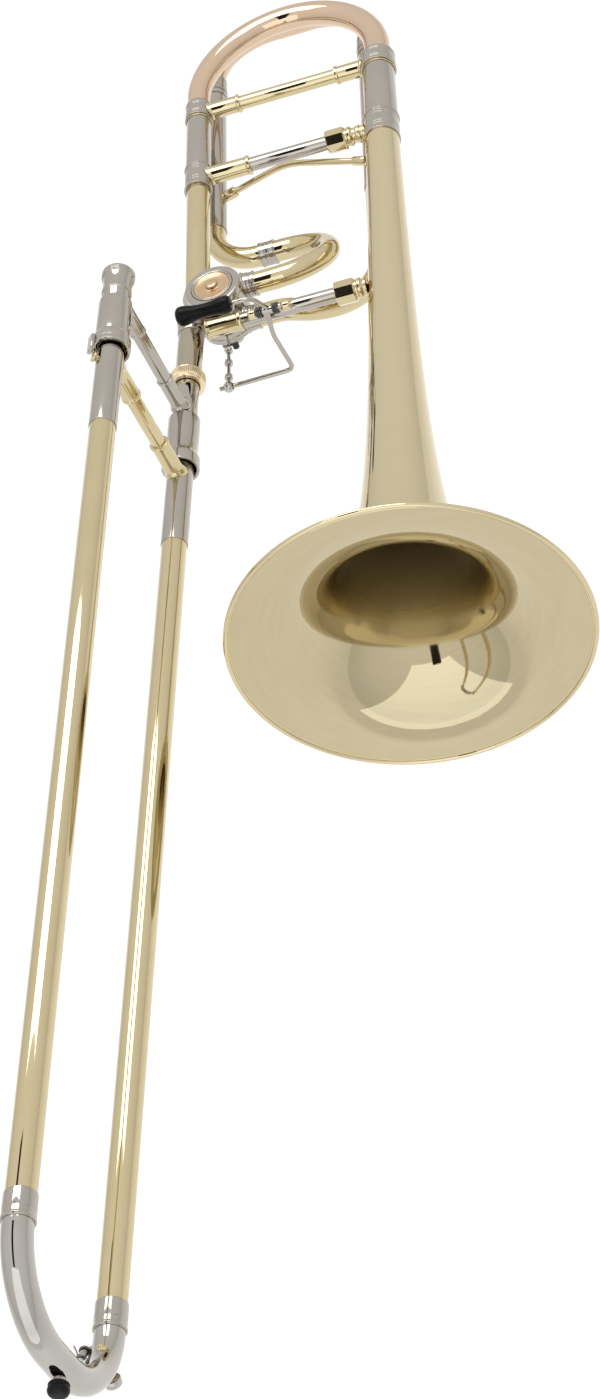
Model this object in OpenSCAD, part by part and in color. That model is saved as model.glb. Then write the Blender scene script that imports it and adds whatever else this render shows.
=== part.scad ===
// Tenor trombone with an F attachment, laid out as it is played.
// The slide runs along -Y, the mouthpiece end faces +Y, the bell is towards +X and up is +Z.
// The origin is the centre of the mouthpiece receiver's mouth.

/* [Hand slide] */
// Distance between the two slide tubes
slide_spacing = 106; // [90:1:112]
// Outside radius of the outer slide tubes
outer_tube_r = 8; // [7.5:0.1:8.5]
// Wall of the outer slide tubes
outer_tube_wall = 0.45; // [0.3:0.05:0.6]
// Front end of the brass slide tubes
tube_front_y = -667; // [-700:1:-600]
// Joint between each nickel sleeve and its brass tube
sleeve_front_y = -136; // [-160:1:-120]
// Corner radius of the slide bow
bow_corner_r = 45; // [40:1:52]
// Radius of the cork barrels
barrel_r = 10.3; // [10:0.1:11]

// Radius of the mouthpiece receiver's bore
shank_r = 6.35; // [6:0.05:6.5]

/* [Bell section] */
// Distance from the neckpipe axis to the bell axis
bell_spacing = 131.6; // [128:0.2:136]
// Where the bell section's own origin lies along the slide
bell_section_y = 134; // [130:1:140]
// Angle between the bell section and the slide
bell_yaw = 3.1; // [2:0.1:4]
// Sideways tilt of the bell section
bell_tilt = 3.1; // [0:0.1:4]
// Position of the bell rim along the bell axis
rim_t = -396.5; // [-410:0.5:-380]
// Constant of the flare: radius = flare_k * (distance + flare_offset) ^ -flare_power
flare_k = 470; // [460:1:480]
// Radius of the neckpipe
neck_r = 8.2; // [8:0.1:8.6]

/* [F attachment] */
// Radius of the attachment's tubing
f_r = 7.5; // [7:0.1:8]
// Distance from the neckpipe axis to the attachment's first leg, across the bell section
f_start_u = 1.3; // [0:0.1:2]
// Distance between the attachment's two straight legs
f_spacing = 115.5; // [113:0.5:117]
// How far the attachment's legs lie below the bell section's plane
f_drop = 31; // [30:0.5:33]

/* [Rotary valve] */
// Distance from the neckpipe axis to the valve axis
valve_u = 16.5; // [16:0.1:17]
// Position of the valve axis along the bell section
valve_t = -58; // [-60:0.5:-56]
// Outside radius of the valve casing
casing_r = 18.5; // [18:0.1:19]
// Radius of the rotor
rotor_r = 15.9; // [15.5:0.05:16]

/* [Hidden] */

$fn = 48;
fit = 0.1;              // running clearance on the radius
cut = 1;                // how far a cutting tool passes the face that it cuts
seam = 0.3;             // overlap where a tilted bend meets a straight tube
seam_step = 0.05;       // a tilted bend is this much thinner than the straight tube it meets

flare_offset = 11.6;
flare_power = 0.6;
bell_wall = 0.6;
bell_top_t = 73;        // where the bell and the neckpipe enter their ferrules
ferrule_top_t = 91;
leg_top_t = 145;
bow_ferrule_top_t = 163;
main_bow_t = 171.5;     // where the main bow's bend starts
bow_end_r = [8.1, 9.2]; // the main bow widens from the neckpipe's side to the bell's
bell_leg_r = 11.3;
neck_leg_r = 8.6;
leg_wall = 0.5;
inner_leg_wall = 0.5;
bell_ferrule_r = 12.1;
neck_ferrule_r = 9.3;

f_wall = 0.5;
f_leg_r = 7.9;
f_ferrule_r = 8.3;
f_leg_bottom_t = 67.6;
f_leg_top_t = 214;
f_bow_t = 218;          // where the F bow's tube ends inside its ferrules
f_bow_bend_t = 230;     // where the F bow's bend starts
f_bow_corner_r = 43.3;
f_s_bend_r = 32.5;
f_s_start_t = 55;
f_u_start_u = 50;
f_upper_port_t = -44;
f_loop_bend_r = 57;
f_lower_port_t = -71;
f_kink_bend_r = 30;
f_loop_tilt = 24;       // slope of the loop as it climbs to the valve

casing_bottom_z = -16;
casing_top_z = 19;
neck_port_t = -36;      // where the neckpipe meets the valve's knuckle
receiver_port_t = -80;
port_r = 6.6;
lid_seat_z = 14;        // the valve's lid sits on this shelf in the casing
lid_r = 14.1;
lid_proud = 0.6;        // how far the lid stands above the casing
casing_ring = [4, 0.4]; // height and step of the ring round the casing's top
crank_r = 9;
crank_z = -28.3;
crank_angle = 225;      // direction of the crank from the valve axis
lever_t = -94;          // lever hinge
lever_z = 16;
lever_u = [43, 66];     // ends of the hinge
arm_tip_t = -100.4;
link_z = crank_z - 3.7;
rod_r = 1.6;

brace_a_t = 82;         // bell brace
brace_c_t = -84.5;      // valve brace
brace_c_z = 6;
tuning_brace_t = 154;

sleeve_r = 8.45;
sleeve_top_y = -50;
barrel_top_y = [-26, -24];
barrel_end_y = -66;
barrel_bore_r = 9.1;
flare_r = 12;
flare_end_y = -70;
inner_tube_r = 7.1;
stocking_r = outer_tube_r - outer_tube_wall - fit;
inner_front_y = -655;
lock_angle = -40;       // the slide lock's tab, turned from straight up
inner_brace_y = -19.2;
outer_brace_y = -77;
bow_y = -681.5;         // where the slide bow's bend starts
bow_r = 8.1;
bow_wall = 0.5;
bumper_z = -57;
bumper_stand = 1.2;     // height of the ring between the bow and the bumper
key_angle = 24;         // place of the water key round the bow's lower corner
key_hinge = [-9.4, 5.4];

receiver_r = 8.6;
nut_y = [6, 16];
nut_r = 11.75;
thread_r = 9.5;
tenon_r = 8;

// ---- shared shapes ----

module bar(y0, y1, r) {
  translate([0, min(y0, y1), 0]) rotate([-90, 0, 0]) cylinder(r = r, h = abs(y1 - y0));
}

module pipe(y0, y1, r, bore) {
  difference() {
    bar(y0, y1, r);
    bar(min(y0, y1) - cut, max(y0, y1) + cut, bore);
  }
}

// points are [y, radius], turned about the Y axis
module lathe(points) {
  rotate([-90, 0, 0]) rotate_extrude() polygon([for (p = points) [p[1], p[0]]]);
}

// a plain sleeve with a raised bead at each end
module ferrule(y0, y1, bore, r, bead = 0.45, bead_w = 1.6) {
  lathe([
    [y0, bore], [y0, r + bead], [y0 + bead_w, r + bead], [y0 + bead_w, r],
    [y1 - bead_w, r], [y1 - bead_w, r + bead], [y1, r + bead], [y1, bore]
  ]);
}

// a straight rod between two points
module rod(a, b, r) {
  d = b - a;
  translate(a) rotate([0, acos(d[2] / norm(d)), atan2(d[1], d[0])])
    cylinder(r = r, h = norm(d));
}

// a rod through a list of points, with round joints
module bent_rod(points, r) {
  for (i = [1 : len(points) - 1]) rod(points[i - 1], points[i], r);
  for (i = [1 : len(points) - 2]) translate(points[i]) sphere(r = r * 1.06);
}

// a bent bar in the XY plane, starting at [radius, 0] and turning about Z
module bend(radius, r, angle) {
  rotate_extrude(angle = angle) translate([radius, 0]) circle(r = r);
}

module bell_frame() {
  translate([0, bell_section_y, -slide_spacing]) rotate([0, 0, bell_yaw])
    rotate([0, bell_tilt, 0]) children();
}

module lower_slide() { translate([0, 0, -slide_spacing]) children(); }
module both_slides() {
  children();
  lower_slide() children();
}
module at_bell() { translate([bell_spacing, 0, 0]) children(); }
module at_valve() { translate([valve_u, valve_t, 0]) children(); }

function flare(x) = flare_k * pow(x + flare_offset, -flare_power);
function flare_slope(x) = -flare_power * flare_k * pow(x + flare_offset, -flare_power - 1);

// ---- bell ----

bell_length = bell_top_t - rim_t;
rim_wire_r = 1.45;
rim_radius = flare(0);
bell_steps = 44;
function bell_x(i) = 0.35 + (bell_length - 0.35) * pow(i / bell_steps, 2.3);
function outside(i) = [rim_t + bell_x(i), flare(bell_x(i))];
function inside(i) =
  let (s = flare_slope(bell_x(i)), n = sqrt(1 + s * s))
  [rim_t + bell_x(i) + (i < bell_steps ? -bell_wall / n : 0), flare(bell_x(i)) + bell_wall * s / n
    - (i < bell_steps ? 0 : bell_wall)];

module rim_wire() {
  translate([0, rim_t + 0.6, 0]) rotate([-90, 0, 0]) rotate_extrude()
    translate([rim_radius - rim_wire_r, 0]) circle(r = rim_wire_r);
}

module bell() {
  color("khaki") bell_frame() at_bell() difference() {
    lathe(concat([for (i = [0 : bell_steps]) outside(i)],
      [for (i = [bell_steps : -1 : 0]) inside(i)]));
    rim_wire();
  }
}

module bell_rim_wire() { color("khaki") bell_frame() at_bell() rim_wire(); }

module bell_ferrule() {
  color("silver") bell_frame() at_bell() difference() {
    ferrule(bell_top_t - 5, ferrule_top_t, flare(bell_length) - 2, bell_ferrule_r);
    bar(bell_top_t - 6, bell_top_t, flare(bell_length - 5) + 0.05);
    bar(bell_top_t, ferrule_top_t + cut, bell_leg_r - leg_wall);
  }
}

module bell_outer_leg() {
  color("lightgrey") bell_frame() at_bell()
    pipe(ferrule_top_t, leg_top_t, bell_leg_r, bell_leg_r - leg_wall);
}

module neckpipe() {
  color("khaki") bell_frame() difference() {
    bar(neck_port_t, bell_top_t, neck_r);
    bar(neck_port_t - cut, bell_top_t + cut, neck_r - leg_wall);
  }
}

module neck_ferrule() {
  color("silver") bell_frame() difference() {
    ferrule(bell_top_t - 5, ferrule_top_t, neck_r - leg_wall, neck_ferrule_r);
    bar(bell_top_t - 6, bell_top_t, neck_r);
    bar(bell_top_t - 6, ferrule_top_t + cut, neck_leg_r - leg_wall);
  }
}

module neck_outer_leg() {
  color("lightgrey") bell_frame()
    pipe(ferrule_top_t, leg_top_t, neck_leg_r, neck_leg_r - leg_wall);
}

// ---- braces of the bell section ----

module across(x0, x1, r, t, z = 0) {
  translate([x0, t, z]) rotate([0, 90, 0]) cylinder(r = r, h = x1 - x0);
}

bell_brace_u = [38, 93];
valve_brace_u = [33, 97];

module bell_brace_tube() {
  color("lightgrey") bell_frame() across(bell_brace_u[0], bell_brace_u[1], 4.9, brace_a_t);
}

module flange(x0, x1, r, t, z) {
  across(x0, x1, r, t, z);
  across(x1 - 2, x1, r + 0.5, t, z);
}

module bell_brace_flange() {
  color("khaki") bell_frame() difference() {
    flange(6, bell_brace_u[0], 6.3, brace_a_t, 0);
    bar(bell_top_t - 6, ferrule_top_t + 1, neck_ferrule_r + 0.45);
  }
}

// an eight-sided nut and a stack of rings against the bell
module collar(x0, t, z) {
  translate([x0, t, z]) rotate([0, 90, 0]) rotate([0, 0, 22.5]) cylinder(r = 8.3, h = 13, $fn = 8);
  across(x0 + 13, x0 + 24, 6.2, t, z);
  across(x0 + 15, x0 + 17, 6.8, t, z);
  across(x0 + 19, x0 + 22, 5.4, t, z);
  across(x0 + 24, x0 + 31, 5.8, t, z);
}

module bell_brace_collar() {
  color("khaki") bell_frame() difference() {
    collar(bell_brace_u[1], brace_a_t, 0);
    at_bell() bar(bell_top_t - 12, ferrule_top_t + 6, bell_ferrule_r + 0.45);
  }
}

module valve_brace_tube() {
  color("lightgrey") bell_frame()
    across(valve_brace_u[0], valve_brace_u[1], 4.9, brace_c_t, brace_c_z);
}

module valve_brace_flange() {
  color("khaki") difference() {
    bell_frame() flange(0, valve_brace_u[0], 6.3, brace_c_t, brace_c_z);
    lower_slide() bar(0, 90, receiver_r);
    bell_frame() around_valve();
  }
}

module valve_brace_collar() {
  color("khaki") bell_frame() difference() {
    collar(valve_brace_u[1], brace_c_t, brace_c_z);
    at_bell() bar(-120, -60, 14.9);
  }
}

support_points = [[8.3, 96, -31], [58, 93, -15], [118, 58, -5]];
module support_brace() {
  color("khaki") bell_frame() difference() {
    union() {
      bent_rod(support_points, 2.3);
      rod(support_points[0], [16.3, 95.4, -28.4], 4);
      rod([110, 62.6, -6.3], support_points[2], 3.4);
    }
    at_f_leg() bar(60, 140, f_leg_r);
    at_bell() bar(40, bell_top_t - 5, flare(bell_length - 20) + 0.3);
  }
}

// ---- F attachment ----

module at_f_leg(right = false) {
  translate([f_start_u + (right ? f_spacing : 0), 0, -f_drop]) children();
}

module level_bar(u0, u1, t, z, r) {
  translate([u0, t, z]) rotate([0, 0, -90]) bar(0, u1 - u0, r);
}

module around_valve() {
  at_valve() cylinder(r = casing_r, h = 60, center = true);
  knuckles();
}

f_s_end_t = f_s_start_t - f_s_bend_r;
f_joint_u = [34, 45];
f_port_u = [35, 41];    // nickel ferrules beside the valve

module f_s_shape(r, over = 0) {
  at_f_leg() {
    bar(f_s_start_t, f_leg_bottom_t + over, r);
    translate([f_s_bend_r, f_s_start_t, 0]) rotate([0, 0, 180]) bend(f_s_bend_r, r, 90);
  }
  level_bar(f_start_u + f_s_bend_r, f_joint_u[0] + 5 + over, f_s_end_t, -f_drop, r);
}

module f_s_tube() {
  color("khaki") bell_frame() difference() {
    f_s_shape(f_r);
    f_s_shape(f_r - f_wall, cut);
  }
}

// the tilted return bend that lifts the attachment's tubing to the valve
f_u_fall = f_s_end_t - f_upper_port_t;
f_u_radius = norm([f_u_fall, f_drop]) / 2;
f_u_tilt = atan2(f_drop, f_u_fall);

// the straight ends run a hair into the bend and stand a hair proud of it
module f_u_shape(r, over = 0) {
  level_bar(f_joint_u[0] + 5 - over, f_u_start_u + seam, f_s_end_t, -f_drop, r);
  translate([f_u_start_u, (f_s_end_t + f_upper_port_t) / 2, -f_drop / 2])
    rotate([-f_u_tilt, 0, 0]) rotate([0, 0, -90]) bend(f_u_radius, r - seam_step, 180);
  level_bar(f_port_u[0] - over, f_u_start_u + seam, f_upper_port_t, 0, r);
}

module f_u_tube() {
  color("khaki") bell_frame() difference() {
    f_u_shape(f_r);
    f_u_shape(f_r - f_wall, cut);
  }
}

f_loop_start_t = f_lower_port_t + f_loop_bend_r;
f_loop_end_u = f_start_u + f_spacing - f_loop_bend_r * cos(f_loop_tilt);
f_kink_u = f_loop_end_u - f_kink_bend_r * sin(f_loop_tilt);
f_loop_end_z = -f_drop + f_loop_bend_r * sin(f_loop_tilt);
f_lower_port_z = f_loop_end_z + f_kink_bend_r * (1 - cos(f_loop_tilt));

module f_loop_shape(r, over = 0) {
  at_f_leg(true) {
    bar(f_loop_start_t - seam, f_leg_bottom_t + over, r);
    translate([0, f_loop_start_t, 0]) rotate([0, f_loop_tilt, 0])
      translate([-f_loop_bend_r, 0, 0]) rotate([0, 0, -90])
        bend(f_loop_bend_r, r - seam_step, 90);
  }
  translate([f_loop_end_u, f_lower_port_t, f_loop_end_z]) rotate([0, f_loop_tilt - 90, 0])
    cylinder(r = r, h = 2 * seam, center = true);
  translate([f_kink_u, f_lower_port_t, f_lower_port_z - f_kink_bend_r])
    rotate([90, 0, 0]) rotate([0, 0, 90 - f_loop_tilt])
      bend(f_kink_bend_r, r - seam_step, f_loop_tilt);
  level_bar(f_port_u[0] - over, f_kink_u + seam, f_lower_port_t, f_lower_port_z, r);
}

module f_loop_tube() {
  color("khaki") bell_frame() difference() {
    f_loop_shape(f_r);
    f_loop_shape(f_r - f_wall, cut);
  }
}

module level_ferrule(u0, u1, t, z) {
  translate([u0, t, z]) rotate([0, 0, -90]) ferrule(0, u1 - u0, f_r, f_ferrule_r, 0.3, 1.2);
}

module f_ferrules() {
  color("silver") bell_frame() {
    level_ferrule(f_joint_u[0], f_joint_u[1], f_s_end_t, -f_drop);
    level_ferrule(f_port_u[0], f_port_u[1], f_upper_port_t, 0);
    level_ferrule(f_port_u[0], f_port_u[1], f_lower_port_t, f_lower_port_z);
  }
}

module f_outer_legs() {
  color("lightgrey") bell_frame() for (right = [false, true]) at_f_leg(right) {
    difference() {
      bar(f_leg_bottom_t - 8, f_leg_top_t, f_leg_r);
      bar(f_leg_bottom_t - 9, f_leg_bottom_t, f_r);
      bar(f_leg_bottom_t - 9, f_leg_top_t + cut, f_leg_r - leg_wall);
    }
    pipe(f_leg_top_t - 4, f_leg_top_t, f_leg_r + 0.5, f_leg_r);
  }
}

// ---- rotary valve ----

module at_valve_z(z0, z1, r) { at_valve() translate([0, 0, z0]) cylinder(r = r, h = z1 - z0); }

module valve_ports() {
  bar(valve_t + 8, 0, port_r);
  level_bar(valve_u + 4, f_port_u[1], f_upper_port_t, 0, port_r);
  level_bar(valve_u + 4, f_port_u[1], f_lower_port_t, f_lower_port_z, port_r);
  rotate([0, 0, -bell_yaw]) bar(receiver_port_t - cut, valve_t - 8, port_r);
}

// the short bosses that carry the tubes
module knuckles() {
  for (p = [[f_upper_port_t, 0], [f_lower_port_t, f_lower_port_z]])
    level_bar(valve_u + 7, f_port_u[0], p[0], p[1], f_ferrule_r);
  bar(valve_t + 4, neck_port_t, neck_r + 0.3);
  rotate([0, 0, -bell_yaw]) bar(receiver_port_t, valve_t - 4, receiver_r + 0.3);
}

module valve_casing() {
  color("silver") bell_frame() difference() {
    union() {
      at_valve_z(casing_bottom_z, casing_top_z, casing_r);
      at_valve_z(casing_top_z - casing_ring[0], casing_top_z, casing_r + casing_ring[1]);
      knuckles();
    }
    at_valve_z(casing_bottom_z - cut, lid_seat_z + 0.2, rotor_r + fit);
    at_valve_z(lid_seat_z, casing_top_z + cut, lid_r + fit);
    valve_ports();
  }
}

module valve_cap() {
  color("tan") bell_frame() at_valve() {
    translate([0, 0, casing_top_z - 3]) cylinder(r = lid_r, h = 3 + lid_proud);
    translate([0, 0, casing_top_z + lid_proud]) cylinder(r = 5, h = 1.8);
  }
}

module valve_back_plate() {
  color("silver") bell_frame() difference() {
    at_valve_z(casing_bottom_z - 2.5, casing_bottom_z, casing_r - 0.3);
    at_valve_z(casing_bottom_z - 4, casing_bottom_z + cut, 3.5);
  }
}

module stop_corks() {
  color("dimgray") bell_frame() at_valve() for (a = [60, -90])
    rotate([0, 0, a]) translate([8, 0, crank_z - 1.5]) cylinder(r = 2.2, h = casing_bottom_z - 1 - crank_z);
}

module rotor_passages() {
  for (side = [-1, 1]) translate([side * 22.5, 0, 0]) rotate_extrude()
    translate([16, 0]) circle(r = 6.2);
}

module valve_rotor() {
  color("silver") bell_frame() difference() {
    union() {
      at_valve_z(casing_bottom_z + 0.3, lid_seat_z - fit, rotor_r);
      at_valve_z(crank_z - 2, casing_bottom_z + 0.4, 3.4);
    }
    at_valve() rotor_passages();
  }
}

crank_ball = [valve_u + crank_r * cos(crank_angle), valve_t + crank_r * sin(crank_angle)];

module stop_arm() {
  color("silver") bell_frame() difference() {
    union() {
      at_valve_z(crank_z - 1.5, crank_z + 1.5, 5.4);
      translate([valve_u, valve_t, crank_z]) rotate([0, 0, crank_angle])
        translate([0, -2.2, -1.5]) cube([crank_r, 4.4, 3]);
      translate([crank_ball[0], crank_ball[1], crank_z - 1.5]) cylinder(r = 2.6, h = 3);
      translate([valve_u, valve_t, crank_z]) rotate([0, 0, 30])
        translate([0, -1.8, -1.5]) cube([9, 3.6, 3]);
    }
    at_valve_z(crank_z - 3, crank_z + 3, 3.4);
    translate([crank_ball[0], crank_ball[1], crank_z - 3]) cylinder(r = 1.3, h = 6);
  }
}

// the link from the crank to the lever: a stud, a rod with two nuts and a ball with an eye
module link_rod() {
  u = crank_ball[0];
  color("silver") bell_frame() {
    translate([u, crank_ball[1], link_z - 1.8]) cylinder(r = 2.8, h = 3.6);
    translate([u, crank_ball[1], link_z - 1.8]) cylinder(r = 1.2, h = 8);
    difference() {
      union() {
        translate([u, 0, link_z]) {
          bar(arm_tip_t, crank_ball[1], 1.3);
          bar(-79, -75, 2.8);
          bar(-93, -89, 2.8);
        }
        translate([u, arm_tip_t, link_z]) sphere(r = 3.8);
      }
      across(u - 5, u + 5, 2.5, arm_tip_t, link_z);
    }
  }
}

// ---- thumb lever ----

hinge = [53, lever_t, lever_z];
paddle_at = [-3, lever_t - 2, lever_z + 15];
paddle_length = 37;

module thumb_lever() {
  color("silver") bell_frame() {
    difference() {
      across(46, 63, 2.6, lever_t, lever_z);
      across(44, 65, 1.3, lever_t, lever_z);
    }
    difference() {
      union() {
        bent_rod([paddle_at + [paddle_length, 0, 0], paddle_at + [49.8, 0.5, -0.5],
          hinge + [0.5, 0, 3], hinge + [-2, -3, -18], [55, arm_tip_t + 1, link_z],
          [22, arm_tip_t, link_z]], rod_r);
        across(4, 22, 1.8, arm_tip_t, link_z);
      }
      across(44, 65, 2.6, lever_t, lever_z);
    }
  }
}

module thumb_paddle() {
  color("black") bell_frame() translate(paddle_at) rotate([90, 0, 90]) rotate_extrude()
    polygon([[0, 0], [4.6, 0], [6.4, 1.5], [6.6, 5], [5.2, 12], [4.6, 18], [4.8, 24],
      [6, 31], [6, 36], [4.8, paddle_length], [0, paddle_length]]);
}

module lever_posts() {
  color("khaki") bell_frame() difference() {
    union() {
      for (u = lever_u) {
        rod([u, brace_c_t, brace_c_z], [u, lever_t, lever_z], 2);
        across(u - 2.6, u + 2.6, 3, lever_t, lever_z);
      }
      across(lever_u[0], lever_u[1], 1.2, lever_t, lever_z);
    }
    across(0, 120, 4.9, brace_c_t, brace_c_z);
  }
}

// two coils round the hinge tube, each a stack of plain rings
module lever_spring() {
  color("dimgray") bell_frame() for (u0 = [46.25, 57.2])
    for (i = [0 : 3]) translate([u0 + 1.2 * i, lever_t, lever_z]) rotate([0, 90, 0])
      rotate_extrude() translate([3.35, 0]) circle(r = 0.6);
}

// ---- slide receiver on the bell section ----

module receiver_tube() {
  color("lightgrey") difference() {
    union() {
      lower_slide() bar(8.2, bell_section_y + receiver_port_t, receiver_r);
      lower_slide() bar(8.2, 17, thread_r);
    }
    lower_slide() bar(0, bell_section_y, tenon_r + fit);
  }
}

module lock_nut() {
  color("peru") lower_slide() difference() {
    bar(nut_y[0], nut_y[1], nut_r);
    bar(nut_y[0] + 2, nut_y[1] + cut, thread_r + fit);
    bar(nut_y[0] - cut, nut_y[1], tenon_r + 0.4);
    for (i = [0 : 35]) rotate([0, i * 10, 0]) translate([nut_r, 0, 0])
      rotate([0, 45, 0]) translate([-0.4, nut_y[0] + 2, -0.4]) cube([0.8, 7, 0.8]);
  }
}

// ---- tuning slides ----

bow_segments = 9;
function bow_taper(i) = bow_end_r[0] + (bow_end_r[1] - bow_end_r[0]) * (i + 0.5) / bow_segments;

module main_bow_shape(shrink, over = 0) {
  radius = bell_spacing / 2;
  step = 180 / bow_segments;
  bar(bow_ferrule_top_t - 9 - over, main_bow_t + 0.1, bow_end_r[0] - shrink);
  at_bell() bar(bow_ferrule_top_t - 9 - over, main_bow_t + 0.1, bow_end_r[1] - shrink);
  for (i = [0 : bow_segments - 1]) translate([radius, main_bow_t, 0])
    rotate([0, 0, 180 - (i + 1) * step - 0.1])
      bend(radius, bow_taper(i) - shrink, step + 0.2);
}

module main_bow() {
  color("rosybrown") bell_frame() difference() {
    main_bow_shape(0);
    main_bow_shape(leg_wall, cut);
  }
}

module bow_ferrule(leg_r, bow_r, r) {
  difference() {
    ferrule(leg_top_t + 0.3, bow_ferrule_top_t, bow_r - 0.6, r);
    bar(leg_top_t, bow_ferrule_top_t - 9, leg_r - leg_wall - fit);
    bar(bow_ferrule_top_t - 9, bow_ferrule_top_t + cut, bow_r);
  }
}

module main_bow_ferrules() {
  color("silver") bell_frame() {
    bow_ferrule(neck_leg_r, bow_end_r[0], neck_ferrule_r);
    at_bell() bow_ferrule(bell_leg_r, bow_end_r[1], bell_ferrule_r);
  }
}

module main_inner_legs() {
  color("lightgrey") bell_frame() {
    pipe(ferrule_top_t + 2, bow_ferrule_top_t - 9, neck_leg_r - leg_wall - fit,
      neck_leg_r - leg_wall - fit - inner_leg_wall);
    at_bell() pipe(ferrule_top_t + 2, bow_ferrule_top_t - 9, bell_leg_r - leg_wall - fit,
      bell_leg_r - leg_wall - fit - inner_leg_wall);
  }
}

module tuning_brace() {
  color("khaki") bell_frame() difference() {
    union() {
      across(4, 126, 4.9, tuning_brace_t);
      for (side = [0, 1]) translate([side * bell_spacing, 0, 0]) mirror([side, 0, 0]) {
        across(6, 31, 5.9, tuning_brace_t);
        across(29, 31, 6.6, tuning_brace_t);
      }
    }
    bar(leg_top_t - 2, bow_ferrule_top_t + 2, neck_ferrule_r + 0.45);
    at_bell() bar(leg_top_t - 2, bow_ferrule_top_t + 2, bell_ferrule_r + 0.45);
  }
}

module f_bow_shape(r, over = 0) {
  for (right = [false, true]) at_f_leg(right) bar(f_bow_t - over, f_bow_bend_t, r);
  at_f_leg() {
    translate([f_bow_corner_r, f_bow_bend_t, 0]) rotate([0, 0, 90]) bend(f_bow_corner_r, r, 90);
    level_bar(f_bow_corner_r, f_spacing - f_bow_corner_r, f_bow_bend_t + f_bow_corner_r, 0, r);
    translate([f_spacing - f_bow_corner_r, f_bow_bend_t, 0]) bend(f_bow_corner_r, r, 90);
  }
}

module f_bow() {
  color("rosybrown") bell_frame() difference() {
    f_bow_shape(f_r);
    f_bow_shape(f_r - f_wall, cut);
  }
}

module f_bow_ferrules() {
  color("silver") bell_frame() for (right = [false, true]) at_f_leg(right) difference() {
    ferrule(f_leg_top_t + 0.3, f_bow_bend_t, f_r, f_ferrule_r);
    bar(f_leg_top_t, f_bow_t, f_leg_r - leg_wall - fit);
  }
}

module f_inner_legs() {
  color("lightgrey") bell_frame() for (right = [false, true]) at_f_leg(right)
    pipe(f_leg_bottom_t + 4, f_bow_t, f_leg_r - leg_wall - fit,
      f_leg_r - leg_wall - fit - inner_leg_wall);
}

// ---- inner hand slide ----

module slide_tenon() {
  color("silver") lower_slide() pipe(barrel_top_y[1], 14, tenon_r, inner_tube_r);
}

module barrel(y0) {
  difference() {
    lathe([[barrel_end_y + 4, barrel_r], [y0 - 1.5, barrel_r], [y0, barrel_r - 1.5],
      [y0, inner_tube_r], [barrel_end_y + 4, inner_tube_r]]);
    bar(barrel_end_y, y0 - 3, barrel_bore_r);
  }
}

module cork_barrels() {
  color("silver") {
    barrel(barrel_top_y[0]);
    pipe(barrel_end_y, barrel_end_y + 4, barrel_r, barrel_bore_r);
    lower_slide() {
      barrel(barrel_top_y[1]);
      lathe([[flare_end_y, barrel_bore_r + 1], [flare_end_y, flare_r], [-61, flare_r],
        [-58, barrel_r + 0.6], [-57, barrel_r], [barrel_end_y + 4, barrel_r],
        [barrel_end_y + 4, barrel_bore_r], [barrel_end_y - 2, barrel_bore_r]]);
    }
  }
}

module barrel_corks() {
  color("black") both_slides() pipe(sleeve_top_y + 0.4, -30, barrel_bore_r, inner_tube_r);
}

module mouthpiece_receiver() {
  color("silver") difference() {
    lathe([[-26, 0], [-26, 8.6], [-19, 8.6], [-18.6, 9.3], [-17, 9.3], [-16.6, 8.8],
      [-5, 9.4], [-4.4, 10.35], [-0.6, 10.35], [0, 9.8], [0, 0]]);
    bar(-24, cut, shank_r);
    bar(-26 - cut, 0, shank_r - 0.6);
  }
}

module saddle_flange(y, z0, z1, r) {
  translate([0, y, min(z0, z1)]) cylinder(r = r, h = abs(z1 - z0));
}

module slide_brace(y, r, flange_r) {
  saddle_flange(y, -5, 5 - slide_spacing, r);
  for (z = [[-5, -33], [5 - slide_spacing, 33 - slide_spacing]]) saddle_flange(y, z[0], z[1], flange_r);
  for (z = [-33, 31 - slide_spacing]) saddle_flange(y, z, z + 2, flange_r + 0.4);
}

module inner_brace() {
  color("silver") difference() {
    slide_brace(inner_brace_y, 4.5, 5.1);
    bar(-40, -5, 9.3);
    lower_slide() bar(-24, -5, tenon_r);
    lower_slide() bar(-40, barrel_top_y[1], barrel_r);
  }
}

module inner_tubes() {
  color("lightgrey") {
    pipe(inner_front_y, -26, inner_tube_r, inner_tube_r - 0.4);
    pipe(inner_front_y, inner_front_y + 90, stocking_r, inner_tube_r);
    lower_slide() {
      pipe(inner_front_y, 12, inner_tube_r, inner_tube_r - 0.4);
      pipe(inner_front_y, inner_front_y + 90, stocking_r, inner_tube_r);
    }
  }
}

// turns round the upper barrel; its tab swings over the stud on the outer slide
module slide_lock() {
  color("silver") {
    lathe([[flare_end_y, barrel_bore_r + 1], [flare_end_y, flare_r], [-61, flare_r],
      [-58, barrel_r + 0.6], [-58, barrel_r + fit], [barrel_end_y - 0.3, barrel_r + fit],
      [barrel_end_y - 0.3, barrel_bore_r + 1]]);
    difference() {
      rotate([0, lock_angle, 0]) translate([-3, -77, 9]) cube([6, 14, 5.2]);
      bar(-90, -60, flare_r - 0.2);
    }
  }
}

// ---- outer hand slide ----

module outer_sleeves() {
  color("lightgrey") both_slides() pipe(sleeve_front_y, sleeve_top_y, sleeve_r, outer_tube_r);
}

module outer_tubes() {
  color("khaki") both_slides()
    pipe(tube_front_y, sleeve_top_y, outer_tube_r, outer_tube_r - outer_tube_wall);
}

module outer_brace() {
  color("khaki") difference() {
    slide_brace(outer_brace_y, 4.75, 5.9);
    both_slides() bar(-90, -60, sleeve_r);
  }
}

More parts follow.
